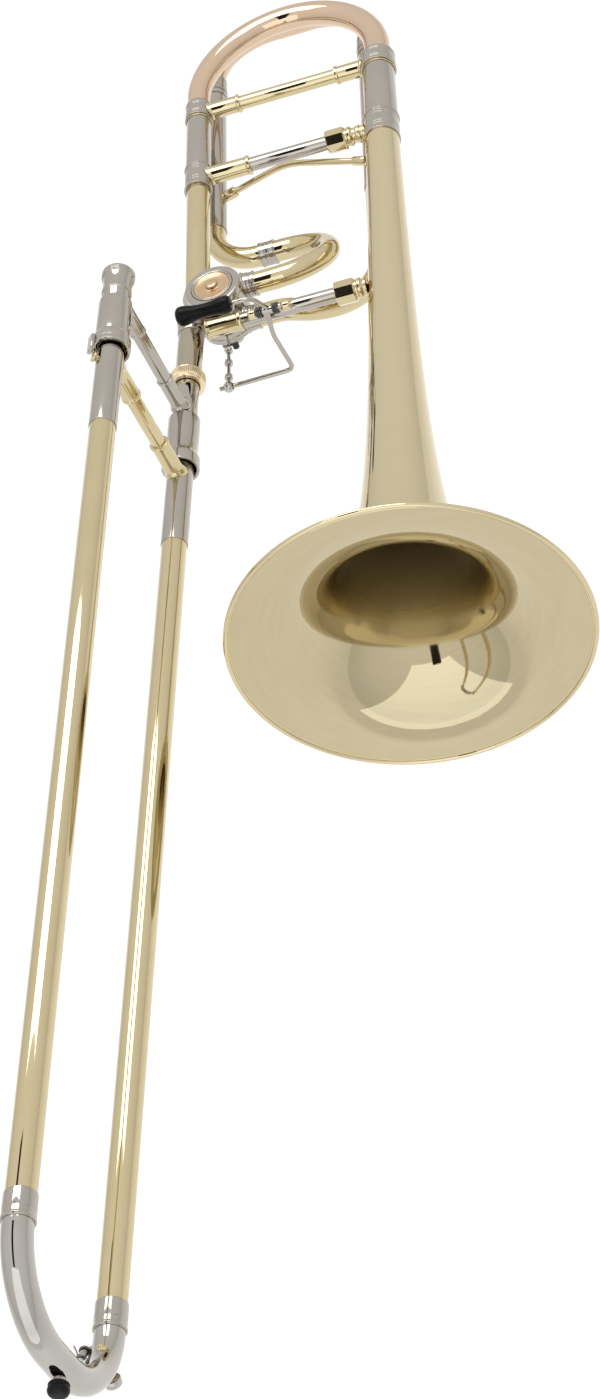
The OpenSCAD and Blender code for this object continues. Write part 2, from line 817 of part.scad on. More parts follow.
module bow_ferrules() {
  color("silver") both_slides() difference() {
    lathe([[bow_y, 7], [bow_y, 8.9], [bow_y + 1, 9.1], [bow_y + 2, 8.9], [bow_y + 2.6, 8.75],
      [tube_front_y + 1.4, 8.75], [tube_front_y + 1.4, 7]]);
    bar(bow_y - cut, tube_front_y, bow_r);
    bar(tube_front_y, -600, outer_tube_r);
  }
}

module slide_bow_shape(r, over = 0) {
  drop = slide_spacing - 2 * bow_corner_r;
  both_slides() bar(bow_y, tube_front_y + over, r);
  translate([0, bow_y, -bow_corner_r]) rotate([0, -90, 0]) mirror([0, 1, 0])
    bend(bow_corner_r, r, 90);
  translate([0, bow_y - bow_corner_r, -bow_corner_r - drop]) cylinder(r = r, h = drop);
  translate([0, bow_y, -slide_spacing + bow_corner_r]) rotate([0, 90, 0]) mirror([0, 1, 0])
    bend(bow_corner_r, r, 90);
}

module slide_bow() {
  color("silver") difference() {
    slide_bow_shape(bow_r);
    slide_bow_shape(bow_r - bow_wall, cut);
    water_key_frame() translate([0, 0, -12]) cylinder(r = 1.2, h = 8);
  }
}

module at_bumper() { translate([0, bow_y - bow_corner_r, bumper_z]) children(); }

module bumper_ring() {
  color("silver") difference() {
    at_bumper() bar(-bow_r - bumper_stand, 0, 3.2);
    translate([0, bow_y - bow_corner_r, -80]) cylinder(r = bow_r, h = 60);
  }
}

module bumper() {
  color("black") at_bumper() translate([0, -bow_r - bumper_stand, 0]) rotate([90, 0, 0])
    rotate_extrude() polygon([[0, 0], [3.4, 0], [5, 0.6], [5.6, 1.6], [5.2, 2.4], [5.2, 3],
      [5.6, 3.8], [5.6, 5.2], [4.8, 6.8], [3.2, 7.6], [0, 7.6]]);
}

// a screw on the upper sleeve that the slide lock's tab covers
module lock_stud() {
  color("khaki") difference() {
    rotate([0, lock_angle, 0]) translate([0, -80, 0]) {
      translate([0, 0, 4]) cylinder(r = 2.4, h = 6.6);
      translate([0, 0, 9.8]) cylinder(r = 3.6, h = 1.5);
    }
    bar(-90, -60, sleeve_r);
  }
}

// local frame of the water key: Y along the bow's tube, +Z towards the bow's inside
module water_key_frame() {
  translate([0, bow_y - bow_corner_r * sin(key_angle),
    -slide_spacing + bow_corner_r - bow_corner_r * cos(key_angle)])
    rotate([-key_angle, 0, 0]) children();
}

module at_key_hinge() { translate([key_hinge[0], 0, key_hinge[1]]) children(); }

module water_key_saddle() {
  color("silver") difference() {
    water_key_frame() {
      difference() {
        union() {
          for (y = [-5.6, 4]) at_key_hinge() bar(y, y + 1.6, 2.2);
          at_key_hinge() bar(-5.6, 5.6, 0.9);
          for (y = [-5.6, 4]) translate([-8.6, y, 0]) cube([3.4, 1.6, 6.4]);
          translate([0, 0, -9.6]) cylinder(r = 2.4, h = 3);
          translate([1.5, 0, 6]) cylinder(r = 2.6, h = 3);
        }
        translate([0, 0, -12]) cylinder(r = 1.2, h = 8);
      }
    }
    slide_bow_shape(bow_r);
  }
}

module water_key_lever() {
  color("silver") water_key_frame() {
    difference() {
      union() {
        at_key_hinge() bar(-3.6, 3.6, 2.2);
        at_key_hinge() translate([-3.6, -2, 0]) cube([2.4, 4, 9]);
        rotate([90, 0, 0]) translate([0, 0, -2]) linear_extrude(4) difference() {
          circle(r = 13.6);
          circle(r = 11.4);
          translate([0, -20]) square([20, 40]);
          translate([-30, 6]) square([60, 20]);
        }
      }
      at_key_hinge() bar(-10, 10, 1);
      translate([0, 0, -12.2]) cylinder(r = 4, h = 6);
    }
    translate([0, 0, -15.2]) cylinder(r = 4.7, h = 3);
    difference() {
      translate([0, 0, -12.2]) cylinder(r = 4.7, h = 1.6);
      translate([0, 0, -12.3]) cylinder(r = 4, h = 3);
    }
  }
}

module water_key_cork() {
  color("burlywood") water_key_frame() translate([0, 0, -12.2]) cylinder(r = 4, h = 2.5);
}

bell();
bell_rim_wire();
bell_ferrule();
bell_outer_leg();
neckpipe();
neck_ferrule();
neck_outer_leg();
bell_brace_tube();
bell_brace_flange();
bell_brace_collar();
valve_brace_tube();
valve_brace_flange();
valve_brace_collar();
support_brace();
f_s_tube();
f_u_tube();
f_loop_tube();
f_ferrules();
f_outer_legs();
valve_casing();
valve_cap();
valve_back_plate();
stop_corks();
receiver_tube();
lever_posts();
main_bow();
main_bow_ferrules();
main_inner_legs();
tuning_brace();
f_bow();
f_bow_ferrules();
f_inner_legs();
thumb_lever();
thumb_paddle();
lever_spring();
valve_rotor();
stop_arm();
link_rod();
lock_nut();
slide_tenon();
cork_barrels();
barrel_corks();
mouthpiece_receiver();
inner_brace();
inner_tubes();
slide_lock();
outer_sleeves();
outer_tubes();
outer_brace();
bow_ferrules();
slide_bow();
bumper_ring();
bumper();
lock_stud();
water_key_saddle();
water_key_lever();
water_key_cork();
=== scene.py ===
import math

import bpy
from mathutils import Matrix, Vector


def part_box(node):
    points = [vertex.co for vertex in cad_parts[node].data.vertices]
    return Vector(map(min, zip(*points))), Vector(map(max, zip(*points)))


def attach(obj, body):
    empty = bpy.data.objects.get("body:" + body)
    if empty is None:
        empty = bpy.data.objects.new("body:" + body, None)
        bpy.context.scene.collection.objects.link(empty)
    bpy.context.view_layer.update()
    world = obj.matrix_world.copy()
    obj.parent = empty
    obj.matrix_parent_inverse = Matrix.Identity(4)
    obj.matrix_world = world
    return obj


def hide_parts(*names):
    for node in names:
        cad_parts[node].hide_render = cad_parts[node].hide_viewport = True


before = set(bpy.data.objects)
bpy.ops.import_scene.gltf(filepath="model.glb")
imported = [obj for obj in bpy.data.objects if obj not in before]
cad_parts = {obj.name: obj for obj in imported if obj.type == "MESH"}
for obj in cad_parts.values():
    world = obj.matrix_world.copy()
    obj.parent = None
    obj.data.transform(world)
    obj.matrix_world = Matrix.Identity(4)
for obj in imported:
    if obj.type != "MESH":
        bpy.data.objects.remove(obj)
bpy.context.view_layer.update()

# ---- frames: every shape below is made in millimetres and placed by one of these ----

SPACING = 106.0                        # between the two tubes of the hand slide
SPREAD = 131.6                         # from the neckpipe's axis to the bell's
LEAN = math.radians(3.1)               # the bell section's turn and its tilt
TURN_R = 45.0                          # bends of the slide bow
BELL_START = 134                       # the bell section's origin along the slide
U, ALONG, UP, FRONT = (1, 0, 0), (0, 1, 0), (0, 0, 1), (0, -1, 0)

MM = Matrix.Scale(0.001, 4)
SLIDE = MM
LOWER = MM @ Matrix.Translation((0, 0, -SPACING))
BELL = (MM @ Matrix.Translation((0, BELL_START, -SPACING)) @ Matrix.Rotation(LEAN, 4, "Z")
        @ Matrix.Rotation(LEAN, 4, "Y"))
BELL_AXIS = BELL @ Matrix.Translation((SPREAD, 0, 0))


def low(node):
    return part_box(node)[0] * 1000


def high(node):
    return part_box(node)[1] * 1000


BOW_Y = low("bow_ferrules").y          # where the slide bow's bend starts
SLEEVE_Y = (low("outer_sleeves").y, high("outer_sleeves").y)
KEY_ANGLE = math.radians(24)
KEY = (MM @ Matrix.Translation((0, BOW_Y - TURN_R * math.sin(KEY_ANGLE),
                                TURN_R - SPACING - TURN_R * math.cos(KEY_ANGLE)))
       @ Matrix.Rotation(-KEY_ANGLE, 4, "X"))

# ---- shapes: each is a list of points and a list of faces ----


def soften(points, size=0.2, steps=3):
    """Rounds the corners of a profile."""
    out = [points[0]]
    for before, here, after in zip(points, points[1:], points[2:]):
        p, a, b = Vector(here), Vector(before) - Vector(here), Vector(after) - Vector(here)
        if a.length < 1e-6 or b.length < 1e-6 or a.angle(b) > math.radians(165):
            out.append(here)
            continue
        reach = min(size, 0.45 * a.length, 0.45 * b.length)
        start, end = p + a.normalized() * reach, p + b.normalized() * reach
        for i in range(steps + 1):
            t = i / steps
            out.append(tuple(start * (1 - t) ** 2 + p * 2 * t * (1 - t) + end * t * t))
    out.append(points[-1])
    return out


def side_vectors(axis):
    """An axis and two directions square to it."""
    axis = Vector(axis).normalized()
    helper = Vector((0, 0, 1)) if abs(axis.z) < 0.9 else Vector((1, 0, 0))
    e1 = helper.cross(axis).normalized()
    return axis, e1, axis.cross(e1)


def lathe(profile, at=(0, 0, 0), axis=(0, 1, 0), steps=72, size=0.2, wobble=None):
    """Turns (distance, radius) points about an axis. A profile that starts and ends on the axis is a solid,
    any other one a closed loop."""
    solid = profile[0][1] < 1e-6 and profile[-1][1] < 1e-6
    if size:
        profile = soften(profile if solid else profile + [profile[0], profile[1]], size)
        if not solid:
            profile = profile[1:-1]
    d, e1, e2 = side_vectors(axis)
    at = Vector(at)
    verts, rings = [], []
    for k, r in profile:
        if r < 1e-6:
            rings.append([len(verts)])
            verts.append(at + d * k)
            continue
        rings.append(list(range(len(verts), len(verts) + steps)))
        for i in range(steps):
            a = 2 * math.pi * i / steps
            rr = r + (wobble(a, k, r) if wobble else 0)
            verts.append(at + d * k + (e1 * math.cos(a) + e2 * math.sin(a)) * rr)
    faces = []
    count = len(rings) if not solid else len(rings) - 1
    for j in range(count):
        p, q = rings[j], rings[(j + 1) % len(rings)]
        for i in range(steps):
            n = (i + 1) % steps
            if len(p) == 1:
                faces.append((p[0], q[n], q[i]))
            elif len(q) == 1:
                faces.append((p[i], p[n], q[0]))
            else:
                faces.append((p[i], p[n], q[n], q[i]))
    return verts, faces


def pipe(y0, y1, r, bore, size=0.12, **more):
    return lathe([(y0, bore), (y0, r), (y1, r), (y1, bore)], size=size, **more)


def plug(y0, y1, r, size=0.3, **more):
    return lathe([(y0, 0), (y0, r), (y1, r), (y1, 0)], size=size, **more)


def sweep(path, radius, sides=28, size=0.3):
    """A round bar along a path, with softened ends. The radius is a number or one number per point."""
    path = [Vector(p) for p in path]
    radii = list(radius) if hasattr(radius, "__len__") else [radius] * len(path)
    tangents = []
    for i in range(len(path)):
        a, b = path[max(i - 1, 0)], path[min(i + 1, len(path) - 1)]
        tangents.append((b - a).normalized())
    normal = side_vectors(tangents[0])[1]
    verts, rings = [], []

    def ring(p, r, t, n):
        b = t.cross(n)
        rings.append(list(range(len(verts), len(verts) + sides)))
        for k in range(sides):
            a = 2 * math.pi * k / sides
            verts.append(p + (n * math.cos(a) + b * math.sin(a)) * r)

    for i, (p, t, r) in enumerate(zip(path, tangents, radii)):
        normal = (normal - t * normal.dot(t)).normalized()
        if i == 0:
            ring(p, r - size, t, normal)
            ring(p + t * size * 0.3, r - size * 0.3, t, normal)
            ring(p + t * size, r, t, normal)
        elif i == len(path) - 1:
            ring(p - t * size, r, t, normal)
            ring(p - t * size * 0.3, r - size * 0.3, t, normal)
            ring(p, r - size, t, normal)
        else:
            ring(p, r, t, normal)
    faces = [tuple(reversed(rings[0])), tuple(rings[-1])]
    for p, q in zip(rings, rings[1:]):
        for k in range(sides):
            n = (k + 1) % sides
            faces.append((p[k], p[n], q[n], q[k]))
    return verts, faces


def arc(centre, start, end, angle, steps=24):
    """Points from centre + start, turning towards centre + end."""
    centre, start, end = Vector(centre), Vector(start), Vector(end)
    return [centre + start * math.cos(angle * i / steps) + end * math.sin(angle * i / steps)
            for i in range(steps + 1)]


def line(a, b, steps=8):
    a, b = Vector(a), Vector(b)
    return [a.lerp(b, i / steps) for i in range(steps + 1)]


def chain(*parts):
    """Paths joined end to end, without doubled points."""
    out = []
    for part in parts:
        for p in part:
            if not out or (Vector(p) - out[-1]).length > 1e-3:
                out.append(Vector(p))
    return out


def rounded(points, radius, steps=8):
    """A path through points, with its corners turned into curves."""
    points = [Vector(p) for p in points]
    out = [points[0]]
    for before, here, after in zip(points, points[1:], points[2:]):
        a, b = before - here, after - here
        reach = min(radius, 0.48 * a.length, 0.48 * b.length)
        start, end = here + a.normalized() * reach, here + b.normalized() * reach
        out += [start * (1 - t) ** 2 + here * 2 * t * (1 - t) + end * t * t
                for t in (i / steps for i in range(steps + 1))]
    return out + [points[-1]]


def helix(at, axis, radius, turns, pitch, start=0.0, steps=20):
    d, e1, e2 = side_vectors(axis)
    path = []
    for i in range(int(turns * steps) + 1):
        a = start + 2 * math.pi * i / steps
        path.append(Vector(at) + d * pitch * i / steps + (e1 * math.cos(a) + e2 * math.sin(a)) * radius)
    return path


def block(x0, x1, y0, y1, z0, z1, chamfer=0.4):
    """A block with all its edges cut."""
    c = chamfer
    verts, index = [], {}
    for sx in (0, 1):
        for sy in (0, 1):
            for sz in (0, 1):
                corner = ((x0, x1)[sx], (y0, y1)[sy], (z0, z1)[sz])
                inward = (c, -c)[sx], (c, -c)[sy], (c, -c)[sz]
                for face in range(3):
                    p = [corner[k] + (0 if k == face else inward[k]) for k in range(3)]
                    index[sx, sy, sz, face] = len(verts)
                    verts.append(Vector(p))
    faces = []
    for face in range(3):
        o = [k for k in range(3) if k != face]
        for s in (0, 1):
            loop = []
            for a, b in ((0, 0), (1, 0), (1, 1), (0, 1)):
                key = [0, 0, 0]
                key[face], key[o[0]], key[o[1]] = s, a, b
                loop.append(index[key[0], key[1], key[2], face])
            faces.append(tuple(loop))
    for axis in range(3):
        o = [k for k in range(3) if k != axis]
        for a in (0, 1):
            for b in (0, 1):
                loop = []
                for s, face in ((0, o[0]), (1, o[0]), (1, o[1]), (0, o[1])):
                    key = [0, 0, 0]
                    key[axis], key[o[0]], key[o[1]] = s, a, b
                    loop.append(index[key[0], key[1], key[2], face])
                faces.append(tuple(loop))
    for sx in (0, 1):
        for sy in (0, 1):
            for sz in (0, 1):
                faces.append(tuple(index[sx, sy, sz, face] for face in range(3)))
    return verts, faces


def foot(profile, at, axis, around, radius, fade=6.0, steps=72):
    """A lathe whose first end follows the round tube that it stands on. around is that tube's axis."""
    verts, faces = lathe(profile, at=at, axis=axis, steps=steps, size=0.2)
    d, across = Vector(axis).normalized(), Vector(axis).cross(Vector(around)).normalized()
    for v in verts:
        k = (v - Vector(at)).dot(d)
        s = (v - Vector(at)).dot(across)
        drop = math.sqrt(max(radius * radius - s * s, 0)) - radius
        v += d * drop * max(0.0, 1 - max(k - radius, 0) / fade)
    return verts, faces


def moved(shape, matrix):
    return [matrix @ v for v in shape[0]], shape[1]


def mirrored_u(shape, middle):
    """The same shape on the other side of u = middle."""
    return [Vector((2 * middle - v.x, v.y, v.z)) for v in shape[0]], [tuple(reversed(f)) for f in shape[1]]


MATERIALS = {}


def piece(name, body, place, shapes, material, nodes=(), sharp=38):
    """One visible mesh from several shapes, riding on a body. nodes are the CAD nodes that it stands in for."""
    verts, faces = [], []
    for shape in shapes:
        base = len(verts)
        verts += [place @ Vector(v) for v in shape[0]]
        faces += [tuple(base + i for i in f) for f in shape[1]]
    mesh = bpy.data.meshes.new(name)
    mesh.from_pydata([tuple(v) for v in verts], [], faces)
    mesh.validate()
    mesh.update()
    obj = bpy.data.objects.new(name, mesh)
    bpy.context.scene.collection.objects.link(obj)
    bpy.context.view_layer.objects.active = obj
    obj.select_set(True)
    bpy.ops.object.mode_set(mode="EDIT")
    bpy.ops.mesh.select_all(action="SELECT")
    bpy.ops.mesh.normals_make_consistent(inside=False)
    bpy.ops.object.mode_set(mode="OBJECT")
    bpy.ops.object.shade_smooth_by_angle(angle=math.radians(sharp))
    obj.select_set(False)
    mesh.materials.append(MATERIALS[material])
    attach(obj, body)
    if nodes:
        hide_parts(*nodes)
    return obj


# ---- materials ----


def tree(name):
    """A new material and what its nodes start from."""
    material = bpy.data.materials.new(name)
    material.use_nodes = True
    nodes, links = material.node_tree.nodes, material.node_tree.links
    shader = nodes["Principled BSDF"]
    place = nodes.new("ShaderNodeTexCoord").outputs["Object"]
    MATERIALS[name] = material
    return nodes, links, shader, place


def noise(nodes, links, place, scale, detail=3.0, stretch=(1, 1, 1)):
    mapping = nodes.new("ShaderNodeMapping")
    mapping.inputs["Scale"].default_value = stretch
    links.new(place, mapping.inputs["Vector"])
    texture = nodes.new("ShaderNodeTexNoise")
    texture.inputs["Scale"].default_value = scale
    texture.inputs["Detail"].default_value = detail
    links.new(mapping.outputs["Vector"], texture.inputs["Vector"])
    return texture.outputs["Fac"]


def ramp(nodes, links, value, low_color, high_color, low_at=0.3, high_at=0.7):
    node = nodes.new("ShaderNodeValToRGB")
    node.color_ramp.elements[0].position, node.color_ramp.elements[1].position = low_at, high_at
    node.color_ramp.elements[0].color = (*low_color, 1)
    node.color_ramp.elements[1].color = (*high_color, 1)
    links.new(value, node.inputs["Fac"])
    return node.outputs["Color"]


def between(nodes, links, value, low_value, high_value, low_at=0.3, high_at=0.7, kind="LINEAR"):
    node = nodes.new("ShaderNodeMapRange")
    node.interpolation_type = kind
    node.inputs["From Min"].default_value, node.inputs["From Max"].default_value = low_at, high_at
    node.inputs["To Min"].default_value, node.inputs["To Max"].default_value = low_value, high_value
    links.new(value, node.inputs["Value"])
    return node.outputs["Result"]


def bump(nodes, links, shader, height, distance, strength):
    node = nodes.new("ShaderNodeBump")
    node.inputs["Distance"].default_value = distance
    node.inputs["Strength"].default_value = strength
    links.new(height, node.inputs["Height"])
    links.new(node.outputs["Normal"], shader.inputs["Normal"])


RIPPLE = 0.0002                        # height of the fine bumps, in metres


def metal(name, dark, light, rough, grain=(1, 1, 1), bump_strength=0.04, coat=0.0):
    """Polished or satin metal: cloudy colour, drawn-tube grain in its roughness, and a faint ripple."""
    nodes, links, shader, place = tree(name)
    shader.inputs["Metallic"].default_value = 1.0
    cloud = noise(nodes, links, place, 55.0)
    links.new(ramp(nodes, links, cloud, dark, light), shader.inputs["Base Color"])
    streak = noise(nodes, links, place, 900.0, 4.0, grain)
    links.new(between(nodes, links, streak, *rough), shader.inputs["Roughness"])
    ripple = noise(nodes, links, place, 260.0, 2.0, grain)
    bump(nodes, links, shader, ripple, RIPPLE, bump_strength)
    if coat:
        shader.inputs["Coat Weight"].default_value = coat
        shader.inputs["Coat Roughness"].default_value = 0.03


EVEN, DRAWN, TURNED = (1, 1, 1), (1, 0.05, 1), (0.3, 3, 0.3)
metal("lacquered_brass", (0.615, 0.515, 0.305), (0.635, 0.535, 0.325), (0.03, 0.06), DRAWN, 0.02, 0.1)
metal("spun_brass", (0.645, 0.548, 0.345), (0.66, 0.56, 0.355), (0.035, 0.07), TURNED, 0.02, 0.1)
metal("nickel_silver", (0.43, 0.395, 0.345), (0.455, 0.42, 0.37), (0.04, 0.08), DRAWN, 0.02)
metal("nickel_bow", (0.46, 0.435, 0.40), (0.485, 0.46, 0.425), (0.03, 0.06), EVEN, 0.02)
metal("receiver_alloy", (0.42, 0.375, 0.28), (0.45, 0.40, 0.305), (0.05, 0.09), DRAWN, 0.02)
metal("rose_brass", (0.67, 0.50, 0.355), (0.69, 0.52, 0.375), (0.03, 0.06), EVEN, 0.02, 0.1)
metal("rose_satin", (0.57, 0.41, 0.25), (0.63, 0.455, 0.285), (0.16, 0.26), EVEN, 0.08)
metal("satin_nickel", (0.43, 0.40, 0.35), (0.50, 0.46, 0.40), (0.22, 0.34), EVEN, 0.12)
metal("satin_brass", (0.80, 0.65, 0.43), (0.88, 0.72, 0.49), (0.16, 0.28), EVEN, 0.10)
metal("spring_steel", (0.10, 0.095, 0.09), (0.19, 0.18, 0.17), (0.22, 0.38), EVEN, 0.08)
metal("polished_steel", (0.42, 0.40, 0.38), (0.52, 0.50, 0.47), (0.08, 0.16), EVEN, 0.05)


def spun(name, dark, light, smooth, rough, y_smooth, y_rough):
    """The inside of the bell: polished near the rim, duller and ringed with turning marks down the throat."""
    nodes, links, shader, place = tree(name)
    shader.inputs["Metallic"].default_value = 1.0
    marks = noise(nodes, links, place, 60.0, 5.0, (0.6, 14, 0.6))
    links.new(ramp(nodes, links, marks, dark, light), shader.inputs["Base Color"])
    split = nodes.new("ShaderNodeSeparateXYZ")
    links.new(place, split.inputs["Vector"])
    depth = between(nodes, links, split.outputs["Y"], smooth, rough, y_smooth, y_rough, "SMOOTHSTEP")
    links.new(depth, shader.inputs["Roughness"])
    bump(nodes, links, shader, marks, RIPPLE, 0.05)


RIM_Y = low("bell_rim_wire").y / 1000
POLISHED_TO, DULL_FROM = RIM_Y + 0.028, RIM_Y + 0.09
spun("bell_inside", (0.53, 0.45, 0.285), (0.555, 0.475, 0.305), 0.035, 0.42, POLISHED_TO, DULL_FROM)


def dull(name, dark, light, rough, scale, strength, distance=RIPPLE, gloss=0.5):
    """Plastic, rubber or cork: cloudy colour, uneven roughness and a grain."""
    nodes, links, shader, place = tree(name)
    cloud = noise(nodes, links, place, scale, 4.0)
    links.new(ramp(nodes, links, cloud, dark, light), shader.inputs["Base Color"])
    links.new(between(nodes, links, noise(nodes, links, place, scale * 4), *rough), shader.inputs["Roughness"])
    bump(nodes, links, shader, noise(nodes, links, place, scale * 6, 5.0), distance, strength)
    shader.inputs["Specular IOR Level"].default_value = gloss


dull("black_plastic", (0.003, 0.003, 0.003), (0.006, 0.0055, 0.005), (0.2, 0.3), 160, 0.08, gloss=0.12)
dull("black_rubber", (0.005, 0.005, 0.005), (0.011, 0.0105, 0.010), (0.4, 0.6), 240, 0.3, gloss=0.15)
CORK_GRAIN = 0.0003
dull("cork", (0.30, 0.185, 0.09), (0.50, 0.345, 0.19), (0.75, 0.95), 700, 0.8, CORK_GRAIN)
dull("dark_cork", (0.02, 0.018, 0.016), (0.05, 0.045, 0.04), (0.7, 0.9), 600, 0.7, CORK_GRAIN)

# ---- bell ----

RIM_T, BELL_TOP = -396.5, 73.0
LENGTH = BELL_TOP - RIM_T
SHEET, RIM_WIRE_R = 0.6, 1.45
FLARE_SCALE, FLARE_SHIFT, FLARE_POWER = 470.0, 11.6, -0.6
WALL_STEPS, BELL_SIDES = 110, 288
FIRST_X, CROWDING = 0.35, 2.3          # where the steps start, and how they crowd towards the rim


def flare(x):
    """The bell's outer radius at a distance x from the rim."""
    return FLARE_SCALE * (x + FLARE_SHIFT) ** FLARE_POWER


def wall(i):
    """The outer and the inner point of the bell's wall at step i."""
    x = FIRST_X + (LENGTH - FIRST_X) * (i / WALL_STEPS) ** CROWDING
    slope = FLARE_POWER * FLARE_SCALE * (x + FLARE_SHIFT) ** (FLARE_POWER - 1)
    n = math.sqrt(1 + slope * slope)
    back = SHEET / n if i < WALL_STEPS else 0
    return (RIM_T + x, flare(x)), (RIM_T + x - back, flare(x) + SHEET * slope / n)


outside = [wall(i)[0] for i in range(WALL_STEPS + 1)]
inside = [wall(i)[1] for i in range(WALL_STEPS + 1)]
wire = [(RIM_T + SHEET + RIM_WIRE_R * math.cos(a), flare(0) - RIM_WIRE_R + RIM_WIRE_R * math.sin(a))
        for a in (math.radians(d) for d in range(60, 311, 10))]
bell_profile = list(reversed(outside[1:])) + wire + inside[4:]
bell = piece("bell", "bell_section", BELL_AXIS, [lathe(bell_profile, steps=BELL_SIDES, size=0)],
             "spun_brass", ("bell", "bell_rim_wire"), sharp=50)
bell.data.materials.append(MATERIALS["bell_inside"])
first_inside = BELL_SIDES * (len(outside) - 1 + len(wire))
for polygon in bell.data.polygons:
    if min(polygon.vertices) >= first_inside:
        polygon.material_index = 1


def ferrule(y0, y1, r, bore, bead=0.45, rings=(), width=1.6):
    """A sleeve with a bead at each end and fine turned lines."""
    out = [(y0, bore), (y0, r + bead), (y0 + width, r + bead), (y0 + width, r)]
    for k in rings:
        out += [(k - 0.45, r), (k - 0.3, r - 0.22), (k + 0.3, r - 0.22), (k + 0.45, r)]
    return out + [(y1 - width, r), (y1 - width, r + bead), (y1, r + bead), (y1, bore)]


def fine(y0, y1, count):
    """Evenly spaced places for turned lines."""
    return [y0 + (y1 - y0) * (i + 1) / (count + 1) for i in range(count)]


FERRULE_T, RING_T = (68, 91), (73, 75.5, 84.5, 87)
LEG_T, LEG_END = (90.5, 145), (143.4, 145.05)
BELL_LEG_R, NECK_LEG_R = 11.3, 8.6
piece("bell_ferrule", "bell_section", BELL_AXIS,
      [lathe(ferrule(*FERRULE_T, 12.1, 11.25, rings=RING_T), size=0.25)],
      "nickel_silver", ("bell_ferrule",))
piece("bell_outer_leg", "bell_section", BELL_AXIS, [pipe(*LEG_T, BELL_LEG_R, BELL_LEG_R - 0.5)],
      "nickel_silver", ("bell_outer_leg",))
piece("neckpipe", "bell_section", BELL, [pipe(-37, 73, 8.2, 7.7)],
      "lacquered_brass", ("neckpipe",))
piece("neck_ferrule", "bell_section", BELL,
      [lathe(ferrule(*FERRULE_T, 9.3, 8.2, rings=RING_T), size=0.25)],
      "nickel_silver", ("neck_ferrule",))
piece("neck_outer_leg", "bell_section", BELL, [pipe(*LEG_T, NECK_LEG_R, NECK_LEG_R - 0.5)],
      "nickel_silver", ("neck_outer_leg",))
trim = []
for u, leg_r in ((SPREAD, BELL_LEG_R), (0, NECK_LEG_R)):
    inner, outer = leg_r + 0.01, leg_r + 0.45
    trim.append(lathe([(LEG_END[0], inner), (LEG_END[0], outer), (LEG_END[1], outer), (LEG_END[1], inner)],
                      at=(u, 0, 0), size=0.2))
piece("leg_end_rings", "bell_section", BELL, trim, "lacquered_brass")

# ---- braces ----

COLLAR_SIDES = 8


def brace(name, t, z, tube, flange_at, collar_at, stem_r, bell_r):
    """A brace from the neckpipe's side to the bell: a nickel tube between a flange and an eight-sided collar.
    stem_r is the radius of the tube that the flange follows, or None for a flat end. bell_r is the bell's
    radius there."""
    piece(name + "_tube", "bell_section", BELL, [plug(tube[0] - 4, tube[1] + 4, 4.9, at=(0, t, z), axis=U)],
          "nickel_silver", (name + "_tube",))
    a, b = flange_at
    profile = [(a, 0), (a, 6.8), (a + 0.8, 7.0), (a + 2.2, 6.3), (b - 2.6, 6.15), (b - 2, 6.8), (b - 0.3, 6.8),
               (b, 6.4), (b, 0)]
    shape = (foot(profile, (0, t, z), U, ALONG, stem_r) if stem_r else lathe(profile, at=(0, t, z), axis=U))
    piece(name + "_flange", "bell_section", BELL, [shape],
          "lacquered_brass", (name + "_flange",))
    c = collar_at
    d, e1, e2 = side_vectors(U)
    verts = []
    for k, r in ((c, 7.5), (c + 0.7, 8.3), (c + 12.3, 8.3), (c + 13, 7.5)):
        for i in range(COLLAR_SIDES):
            a = math.radians((i + 0.5) * 360 / COLLAR_SIDES)
            verts.append(Vector((k, t, z)) + (e1 * math.cos(a) + e2 * math.sin(a)) * r)
    faces = [tuple(range(COLLAR_SIDES - 1, -1, -1)), tuple(range(3 * COLLAR_SIDES, 4 * COLLAR_SIDES))]
    for j in range(0, 3 * COLLAR_SIDES, COLLAR_SIDES):
        for i in range(COLLAR_SIDES):
            n = (i + 1) % COLLAR_SIDES
            faces.append((j + i, j + n, j + COLLAR_SIDES + n, j + COLLAR_SIDES + i))
    end = SPREAD - bell_r + 1.0
    stack = [(c + 12, 0), (c + 12, 6.2), (c + 14.6, 6.2), (c + 15.1, 6.8), (c + 17, 6.8), (c + 17.4, 6.0),
             (c + 18.6, 5.2), (c + 20.4, 5.4), (c + 21.6, 6.0), (c + 23.6, 6.2), (c + 24.2, 5.6),
             (end - 2.4, 5.5), (end - 1, 5.8), (end, 5.8), (end, 0)]
    stack_shape = lathe([p for p in stack if p[0] <= end], at=(0, t, z), axis=U, size=0.25)
    piece(name + "_collar", "bell_section", BELL, [(verts, faces), stack_shape],
          "lacquered_brass", (name + "_collar",), sharp=30)


brace("bell_brace", 82, 0, (38, 93), (9.4, 38), 93, 9.4, 12.3)
brace("valve_brace", -84.5, 6, (33, 97), (9, 33), 97, None, 15.1)

near_end, far_end = (8.3, 96, -31), (118, 58, -5)
support = rounded([near_end, (58, 93, -15), far_end], 14)
piece("support_brace", "bell_section", BELL,
      [sweep(support, 2.3, 24), sweep(line(near_end, (17.3, 95.4, -28.2), 2), 3.9, 28, 0.5),
       sweep(line((109, 63.2, -6.5), far_end, 2), 3.3, 28, 0.5)],
      "lacquered_brass", ("support_brace",))

# ---- F attachment ----

